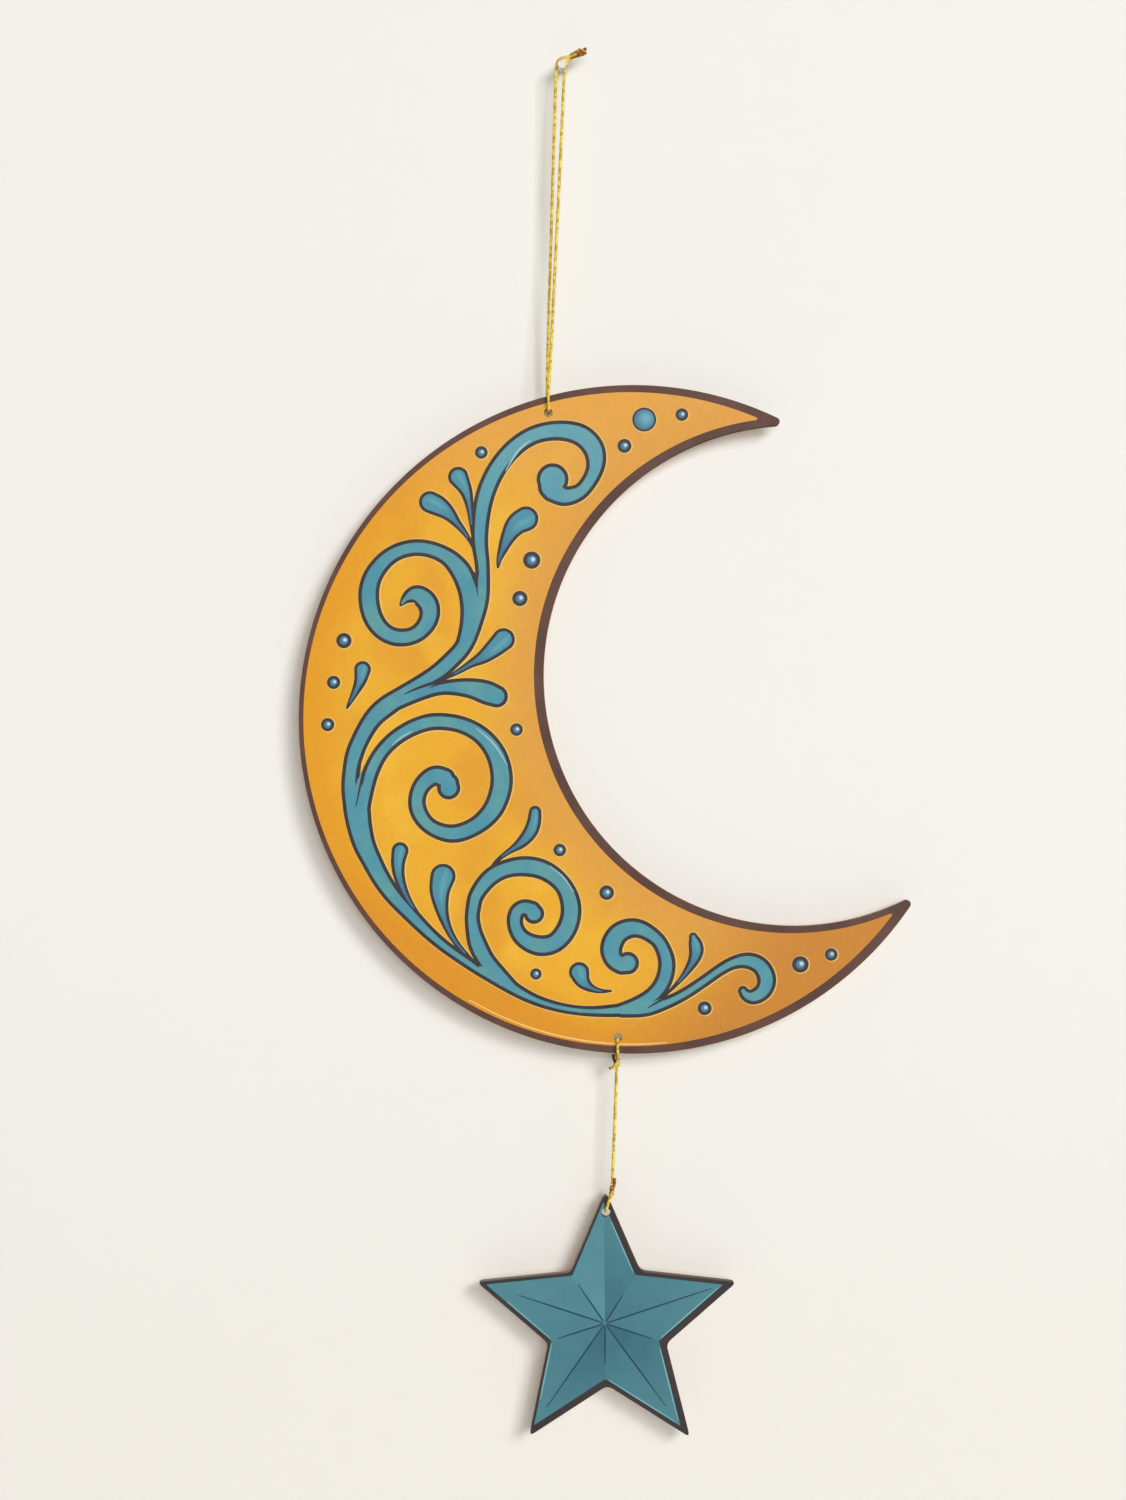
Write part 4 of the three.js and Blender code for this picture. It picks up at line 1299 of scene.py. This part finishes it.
@dataclass
class Moon:
    """The crescent board with its printed border and amber ground, in mm."""

    form: CrescentForm
    thickness: float = 3.0
    tip: float = 1.2
    edge_round: float = 0.3
    hole: float = 2.6
    hole_inset: float = 4.9
    hole_angles: tuple[float, float] = (107.65, -90.5)
    rim_border: float = 2.2
    bay_border: float = 2.1
    print_shift: Spot = (-0.8, 0.0)
    print_tip: float = 0.4

    def holes(self) -> list[tuple[Vector, float]]:
        """Each cord hole's middle and diameter."""
        reach = self.form.rim - self.hole_inset
        centre = Vector(self.form.centre)
        return [(centre + polar(angle, reach), self.hole) for angle in self.hole_angles]

    def build(self, inks: Finishes) -> None:
        """Makes the board, its border and its ground.

        Args:
            inks: every finish.
        """
        half, holes = self.thickness / 2, self.holes()
        cut = self.form.outline(0, 0, self.tip, (0, 0))
        board = drilled_sheet("moon_board_cut", cut, (-half, half), self.edge_round, holes)
        mark_edges(board)
        finish_piece(board, "moon", inks.board, ["moon_board"])
        rim = drilled_sheet("moon_border_ink", cut, Ink.BORDER.value, BORDER_ROUND, holes)
        finish_piece(rim, "moon", [inks.border], ["moon_border_print"])
        inner = self.form.outline(self.rim_border, self.bay_border, self.print_tip, self.print_shift)
        face = drilled_sheet("moon_ground_ink", inner, Ink.GROUND.value, 0.0, holes)
        finish_piece(face, "moon", [inks.ground], ["moon_ground_print"])


@dataclass
class Scrollwork:
    """The printed scrolls, teardrops and dots on the moon, in mm."""

    form: CrescentForm
    line_width: float = 1.1
    drop_line: float = 0.95
    halo_width: float = 0.24
    halo_shift: Spot = (0.12, -0.05)
    dot_sides: int = 40

    def layer(
        self, name: str, strokes: Iterable[Stroke], discs: Iterable[Point], ink: Ink, inset: float,
        shift: Spot = (0.0, 0.0), merges: Iterable[Stroke] = ()
    ) -> Object:
        """Joins strokes and round spots of one layer to one closed piece.

        Args:
            name: the piece's name.
            strokes: the strokes.
            discs: round spots of x, z and radius.
            ink: the layer they lie in.
            inset: how far their edges move in.
            shift: how far they are moved.
            merges: strokes that flow over the lines where two strokes meet.

        Returns:
            The joined piece.
        """
        parts = []
        for stroke, edge in [*((s, inset) for s in strokes), *((m, 0.0) for m in merges)]:
            bm = stroke_mesh()
            stroke.ribbon(bm, self.form.centre, ink, edge, shift)
            parts.append(to_mesh(bm, name))
        for spot in discs:
            bm = stroke_mesh()
            self.disc(bm, spot, ink, inset, shift)
            parts.append(to_mesh(bm, name))
        combine(parts[0], parts[1:], "UNION")
        parts[0].name = name
        return parts[0]

    def disc(self, bm: BMesh, spot: Point, ink: Ink, inset: float, shift: Spot = (0.0, 0.0)) -> None:
        """Adds a flat round spot.

        Args:
            bm: the shape it joins.
            spot: its x, z and radius.
            ink: the layer it lies in.
            inset: how far its edge moves in.
            shift: how far it is moved.
        """
        back, front = ink.value
        place = Vector(self.form.centre) + Vector(spot[:2]) + Vector(shift)
        turn = Matrix.Translation((place.x, -back, place.y)) @ Matrix.Rotation(math.pi / 2, 4, "X")
        first = len(bm.faces)
        bmesh.ops.create_circle(
            bm, cap_ends=True, cap_tris=False, segments=self.dot_sides, radius=spot[2] - inset,
            matrix=turn, calc_uvs=True
        )
        bm.faces.ensure_lookup_table()
        thicken(bm, bm.faces[first:], front - back)

    def build(self, inks: Finishes) -> None:
        """Makes every printed layer of the scrollwork.

        Args:
            inks: every finish.
        """
        grown = [*SCROLL, *BUDS.values()]
        glow = self.layer(
            "scroll_halo_ink", [*grown, *DROPS.values()], [*PIPS, *DOTS], Ink.HALO, -self.halo_width,
            self.halo_shift
        )
        finish_piece(glow, "moon", [inks.halo])
        lines = self.layer("scroll_line_ink", grown, PIPS, Ink.LINE, 0)
        finish_piece(lines, "moon", [inks.line], ["scroll_line_print"])
        fill = self.layer("scroll_teal_ink", SCROLL, PIPS, Ink.FILL, self.line_width, merges=MERGES)
        finish_piece(fill, "moon", [inks.teal], ["scroll_teal_print"])
        self.marks("scroll_crease_ink", CREASES, Ink.TOUCH, inks.line)
        self.marks("scroll_gleam_ink", GLEAMS, Ink.TOUCH, inks.gleam)
        self.marks("rim_glint_ink", [RIM_GLINT], Ink.HALO, inks.rim_glint)
        for name, stroke in {**BUDS, **DROPS}.items():
            bm = stroke_mesh()
            stroke.ribbon(bm, self.form.centre, Ink.FILL, self.drop_line)
            looks = [inks.drop]
            if name in DROPS:
                looks.append(inks.line)
                for face in stroke.ribbon(bm, self.form.centre, Ink.LINE):
                    face.material_index = 1
            finish_piece(to_mesh(bm, name + "_ink"), "moon", looks, [name])
        for i, spot in enumerate(DOTS, 1):
            bm = stroke_mesh()
            self.disc(bm, spot, Ink.LINE, 0)
            look = inks.big_bead if spot[2] > 3 else inks.bead
            name = f"dot_{i:02d}"
            finish_piece(to_mesh(bm, name + "_ink"), "moon", [look], [name])

    def marks(
        self, name: str, strokes: Iterable[Stroke], ink: Ink, material: Material
    ) -> None:
        """Makes fine strokes that lie over the other layers as one piece.

        Args:
            name: the piece's name.
            strokes: the strokes, which stay clear of each other.
            ink: the layer they lie in.
            material: their material.
        """
        bm = stroke_mesh()
        for stroke in strokes:
            stroke.ribbon(bm, self.form.centre, ink)
        finish_piece(to_mesh(bm, name), "moon", [material])


@dataclass
class Star:
    """The small star with its dark border and its painted facets, in mm."""

    form: StarForm
    thickness: float = 3.0
    edge_round: float = 0.2
    hole: float = 2.8
    hole_reach: float = 33.5
    border: float = 1.4
    print_shift: Spot = (-0.65, 0.42)
    facet_tones: tuple[float, ...] = (0.85, 0.65, 0.5, 0.4, 0.15, 0.35, 0.15, 0.45, 0.4, 0.25)
    crease_reach: tuple[float, ...] = (0, 0.82, 0.72, 0.88, 0.82, 0.73, 0.8, 0.87, 0.9, 0.58)
    glint_inset: float = 0.25
    glint_edges: tuple[tuple[int, int, float, float], ...] = (
        (0, 9, 0.25, 0.95), (8, 7, 0.05, 0.95), (6, 7, 0.05, 0.9), (6, 5, 0.05, 0.95),
        (2, 3, 0.3, 0.97), (4, 3, 0.3, 0.95)
    )

    def hole_spot(self) -> tuple[Vector, float]:
        """The cord hole's middle and diameter."""
        place = Vector(self.form.centre) + polar(90 + self.form.lean, self.hole_reach)
        return (place, self.hole)

    def face_middle(self) -> Vector:
        """Where the painted facets meet."""
        return Vector(self.form.centre) + Vector(self.print_shift)

    def facets(self, teal: Material) -> None:
        """Makes the teal face, whose ten facets meet in the middle.

        Args:
            teal: the material that reads each facet's own tone.
        """
        back, front = Ink.GROUND.value
        outline = self.form.outline(self.border, self.print_shift, 0.5)
        middle = self.face_middle()
        bm = bmesh.new()
        tone = bm.loops.layers.uv.new("facet")
        face = bm.faces.new([bm.verts.new((p.x, -back, p.y)) for p in outline])
        fan = bmesh.ops.poke(bm, faces=[face])
        fan["verts"][0].co = (middle.x, -back, middle.y)
        thicken(bm, bm.faces, front - back)
        for side in bm.faces:
            spot = side.calc_center_median()
            around = math.degrees(math.atan2(spot.z - middle.y, spot.x - middle.x))
            facet = int(((around - 90 - self.form.lean) % 360) // 36)
            for loop in side.loops:
                at = Vector((loop.vert.co.x, loop.vert.co.z)) - middle
                loop[tone].uv = (self.facet_tones[facet], at.length / self.form.tip)
        piece = to_mesh(bm, "star_face_ink")
        cut_holes(piece, [self.hole_spot()])
        finish_piece(piece, "star", [teal], ["star_face_print"])

    def creases(self, dark: Material) -> None:
        """Makes the thin shadow lines that run out from the middle of the face.

        Args:
            dark: the material of the shadow lines.
        """
        middle = self.face_middle()
        bm = stroke_mesh()
        for i, reach in enumerate(self.crease_reach):
            if reach == 0:
                continue
            end = self.form.corner(i) * self.form.scale(self.border) * reach
            start = end.normalized() * 0.9
            line = Stroke(((*start, 0.22), (*(end / 2), 0.26), (*end, FINE_END)))
            line.ribbon(bm, tuple(middle), Ink.HALO)
        finish_piece(to_mesh(bm, "star_crease_ink"), "star", [dark])

    def glints(self, light: Material) -> None:
        """Makes the thin pale lines just inside the right and lower edges of the face.

        Args:
            light: the material of the pale lines.
        """
        bm = stroke_mesh()
        scale = self.form.scale(self.border + self.glint_inset)
        for tip, notch, start, end in self.glint_edges:
            one, two = self.form.corner(tip) * scale, self.form.corner(notch) * scale
            first, last = one.lerp(two, start), one.lerp(two, end)
            line = Stroke(((*first, FINE_END), (*first.lerp(last, 0.5), 0.22), (*last, FINE_END)))
            line.ribbon(bm, tuple(self.face_middle()), Ink.HALO)
        finish_piece(to_mesh(bm, "star_glint_ink"), "star", [light])

    def build(self, inks: Finishes) -> Object:
        """Makes the star's board and every printed layer.

        Args:
            inks: every finish.

        Returns:
            The board.
        """
        half, holes = self.thickness / 2, [self.hole_spot()]
        cut = self.form.outline(0, (0, 0))
        board = drilled_sheet("star_board_cut", cut, (-half, half), self.edge_round, holes)
        mark_edges(board)
        finish_piece(board, "star", inks.board, ["star_board"])
        rim = drilled_sheet("star_border_ink", cut, Ink.BORDER.value, BORDER_ROUND, holes)
        finish_piece(rim, "star", [inks.star_border], ["star_border_print"])
        self.facets(inks.facets)
        self.creases(inks.star_crease)
        self.glints(inks.star_glint)
        return board


@dataclass
class Studio:
    """The wall, the floor, the nail, the lamps and the camera, in mm unless said otherwise."""

    wall_gap: float = 6.0
    board_back: float = 1.5
    open_within: float = 20.0
    wall_tone: str = "#f4f3ee"
    # The colour that the lower wall darkens to: painted shade for the light falling off downwards.
    wall_painted_shade_tone: str = "#f0eee8"
    floor_tone: str = "#cbc7bf"
    stage_width: float = 2600.0
    wall_middle: float = 300.0
    floor_place: Point = (0.0, -1291.0, -1000.0)
    sensor: float = 36.0
    aim: Point = (8.25, 0.0, -206.4)
    roll: float = 2.2
    view_height: float = 449.7
    camera_distance: float = 700.0
    nail_place: Spot = (0.0, -1.5)
    nail_tone: str = "#dedbd6"

    def wall_material(self) -> Material:
        """A matte painted wall, darker towards the bottom as painted shade, that lets the back's view,
        shadow rays and close bounces through.
        """
        material, tree, surface = new_material("matte_wall_paint", 0.9, 0.0)
        place = add_node(tree, "ShaderNodeTexCoord").outputs["Object"]
        height = add_node(tree, "ShaderNodeSeparateXYZ", {"Vector": place}).outputs["Z"]
        # The lower wall is painted darker, with a cloudy edge, as painted shade for the light that
        # falls off downwards.
        cloudy = {0: grain(tree, 160.0, 2.0), 1: 60 * MM, 2: height}
        uneven = add_node(tree, "ShaderNodeMath", cloudy, operation="MULTIPLY_ADD").outputs[0]
        low = Coat(uneven, -160 * MM, -400 * MM, self.wall_painted_shade_tone, soft=True)
        tree.links.new(lay_coats(tree, self.wall_tone, [low]), surface.inputs["Base Color"])
        behind = add_node(tree, "ShaderNodeNewGeometry").outputs["Backfacing"]
        path = add_node(tree, "ShaderNodeLightPath")
        short = {0: path.outputs["Ray Length"], 1: self.open_within * MM}
        near = add_node(tree, "ShaderNodeMath", short, operation="LESS_THAN").outputs[0]
        bounced = {0: near, 1: path.outputs["Is Diffuse Ray"]}
        from_back = add_node(tree, "ShaderNodeMath", bounced, operation="MULTIPLY").outputs[0]
        open_way = behind
        for way in (path.outputs["Is Shadow Ray"], from_back):
            either = {0: open_way, 1: way}
            open_way = add_node(tree, "ShaderNodeMath", either, operation="MAXIMUM").outputs[0]
        clear = add_node(tree, "ShaderNodeBsdfTransparent")
        both = {0: open_way, 1: surface.outputs[0], 2: clear.outputs[0]}
        seen = add_node(tree, "ShaderNodeMixShader", both)
        output = next(n for n in tree.nodes if n.type == "OUTPUT_MATERIAL")
        tree.links.new(seen.outputs[0], output.inputs["Surface"])
        return material

    def plane(self, name: str, turn: Matrix) -> Object:
        """Makes a flat square stage surface.

        Args:
            name: its name.
            turn: where it goes.

        Returns:
            The piece.
        """
        bm = bmesh.new()
        bmesh.ops.create_grid(bm, x_segments=1, y_segments=1, size=self.stage_width / 2)
        bmesh.ops.transform(bm, matrix=turn, verts=bm.verts)
        piece = to_mesh(bm, name)
        return piece

    def keep_behind(self, wall: Object, board: Object) -> None:
        """Lets the wall step back when a board swings towards it, so that it never hides it.

        Args:
            wall: the wall, which stands in its usual place while the board is at rest.
            board: the board that swings.
        """
        tree = bpy.data.node_groups.new("wall_place", "GeometryNodeTree")
        for way in ("INPUT", "OUTPUT"):
            tree.interface.new_socket("Geometry", in_out=way, socket_type="NodeSocketGeometry")
        flat = add_node(tree, "NodeGroupInput").outputs[0]
        held = {"Object": board}
        seen = add_node(tree, "GeometryNodeObjectInfo", held, transform_space="RELATIVE")
        box = add_node(tree, "GeometryNodeBoundBox", {0: seen.outputs["Geometry"]})
        back = add_node(tree, "ShaderNodeSeparateXYZ", {0: box.outputs["Max"]}).outputs["Y"]
        for how, value in (("SUBTRACT", self.board_back * MM), ("MAXIMUM", 0.0)):
            back = add_node(tree, "ShaderNodeMath", {0: back, 1: value}, operation=how).outputs[0]
        step = add_node(tree, "ShaderNodeCombineXYZ", {"Y": back}).outputs[0]
        moved = add_node(tree, "GeometryNodeSetPosition", {"Geometry": flat, "Offset": step})
        add_node(tree, "NodeGroupOutput", {0: moved.outputs[0]})
        wall.modifiers.new("place", "NODES").node_group = tree

    def build_stage(self, board: Object) -> None:
        """Makes the wall, the floor and the nail.

        Args:
            board: the star's board, which the wall stays behind.
        """
        upright = Matrix.Rotation(math.pi / 2, 4, "X")
        middle = Matrix.Translation((0, self.wall_gap, self.wall_middle))
        wall = self.plane("wall", middle @ upright)
        wall.data.materials.append(self.wall_material())
        self.keep_behind(wall, board)
        floor = self.plane("floor", Matrix.Translation(self.floor_place))
        floor.data.materials.append(even_paint("matte_floor", self.floor_tone, 0.9))
        bm = bmesh.new()
        for radius, back, front in ((0.5, -self.wall_gap, 1.5), (1.25, 1.35, 1.95)):
            place = Matrix.Translation((self.nail_place[0], -(back + front) / 2, self.nail_place[1]))
            bmesh.ops.create_cone(
                bm, cap_ends=True, segments=24, radius1=radius, radius2=radius * 0.92,
                depth=front - back, matrix=place @ upright
            )
        nail = to_mesh(bm, "wall_nail")
        nail.data.materials.append(even_paint("painted_nail", self.nail_tone, 0.35))

    def build_camera(self) -> None:
        """Puts the camera in front of the ornament, rolled as the photograph is."""
        data = bpy.data.cameras.new("camera")
        data.sensor_width = self.sensor
        data.lens = self.sensor * self.camera_distance / self.view_height
        camera = add_object("camera", data)
        turn = math.radians(self.roll)
        right = Vector((math.cos(turn), 0, math.sin(turn)))
        up = Vector((-math.sin(turn), 0, math.cos(turn)))
        axes = Matrix((right, up, Vector((0, -1, 0)))).transposed().to_4x4()
        place = Vector(self.aim) - Vector((0, self.camera_distance, 0))
        camera.matrix_world = Matrix.Translation(place * MM) @ axes
        bpy.context.scene.camera = camera

    def lamp(self, name: str, place: Point, size: float, power: float, tone: str) -> None:
        """Adds a square soft lamp that looks at the ornament.

        Args:
            name: its name.
            place: where it hangs.
            size: its width.
            power: its power in watts.
            tone: its colour.
        """
        data = bpy.data.lights.new(name, "AREA")
        data.energy = power
        data.size = size * MM
        data.color = linear(tone)[:3]
        lamp = add_object(name, data)
        way = Vector(self.aim) - Vector(place)
        lamp.matrix_world = (
            Matrix.Translation(Vector(place) * MM) @ way.to_track_quat("-Z", "Y").to_matrix().to_4x4()
        )

    def build_light(self) -> None:
        """Lights the ornament softly from the upper right."""
        self.lamp("key_lamp", (3377, -5100, 2399), 2380, 239.0, "#fffefd")
        self.lamp("front_lamp", (997, -6120, 665), 3060, 136.0, "#fffeff")
        self.lamp("back_lamp", (-500, 1800, 400), 1200, 30.0, "#fffefd")
        world = bpy.data.worlds.new("studio")
        world.use_nodes = True
        tree = world.node_tree
        tree.nodes.clear()
        path = add_node(tree, "ShaderNodeLightPath")
        seen = path.outputs["Is Camera Ray"]
        for way in ("Is Glossy Ray", "Is Transmission Ray"):
            either = {0: seen, 1: path.outputs[way]}
            seen = add_node(tree, "ShaderNodeMath", either, operation="MAXIMUM").outputs[0]
        soft, pale = (
            add_node(tree, "ShaderNodeBackground", {"Color": linear(tone), "Strength": strength})
            for tone, strength in (("#fdfcfc", 0.18), ("#f6f3ee", 1.0))
        )
        both = {0: seen, 1: soft.outputs[0], 2: pale.outputs[0]}
        sky = add_node(tree, "ShaderNodeMixShader", both)
        add_node(tree, "ShaderNodeOutputWorld", {"Surface": sky.outputs[0]})
        bpy.context.scene.world = world
        bpy.context.scene.view_settings.view_transform = "Standard"


class Finishes:
    """Every finish of both boards and of their print, made once."""

    def __init__(self, form: CrescentForm) -> None:
        """Makes the finishes.

        Args:
            form: the moon's outline, which the amber ground follows.
        """
        charred = Hardboard("charred_cut_edge", "#4b3428", "#241915", 0.5, 0.4)
        big_bead = DotInk("large_bead_print", glint="#6aa9b8", ring_from=0.82, glint_size=0.9)
        self.board: list[Material] = [Hardboard().make(), charred.make()]
        self.border: Material = PrintedInk("brown_border_print", "#614237", "#51372d").make()
        self.ground: Material = AmberGround(form).make()
        self.halo: Material = PrintedInk("pale_halo_print", "#f1cb70", "#ebbf5e").make()
        self.line: Material = PrintedInk("dark_line_print", "#2e282b", "#393235", 6.0).make()
        self.teal: Material = TealInk().make()
        self.drop: Material = DropInk().make()
        self.bead: Material = DotInk("bead_print").make()
        self.big_bead: Material = big_bead.make()
        self.gleam: Material = PrintedInk("pale_gleam_print", "#9cc6cc", "#8dbac4", 4.0).make()
        self.rim_glint: Material = PrintedInk("pale_rim_print", "#f4d08a", "#f0c678", 6.0).make()
        self.star_border: Material = PrintedInk("star_border_print", "#3a3434", "#322c2d").make()
        self.facets: Material = FacetInk().make()
        self.star_crease: Material = PrintedInk("star_crease_print", "#234c5b", "#1f4350").make()
        self.star_glint: Material = PrintedInk("star_glint_print", "#7fb2bb", "#74a7b3").make()


def main() -> None:
    """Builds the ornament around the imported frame."""
    logging.basicConfig(level=logging.INFO, format="%(name)s: %(message)s")
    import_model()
    studio = Studio()
    studio.build_camera()
    # The dark core thread is painted shade for the hollows between the plies.
    core = PrintedInk("cord_core_painted_shade", "#4a2a10", "#2e1a0c", 0.8, 0.6).make()
    # A darker, browner gold for the wound knots and some of their tails.
    dark_knot_yarn = GoldCord("dark_knot_gold_film_yarn", "#cf9224", "#6d3d0e", 0.9)
    maker = CordMaker([GoldCord().make(), core, dark_knot_yarn.make()])
    Hanger(maker).build()
    StarCord(maker).build()
    moon_form = CrescentForm()
    inks = Finishes(moon_form)
    Moon(moon_form).build(inks)
    Scrollwork(moon_form).build(inks)
    board = Star(StarForm()).build(inks)
    studio.build_stage(board)
    studio.build_light()


if __name__ == "__main__":
    main()
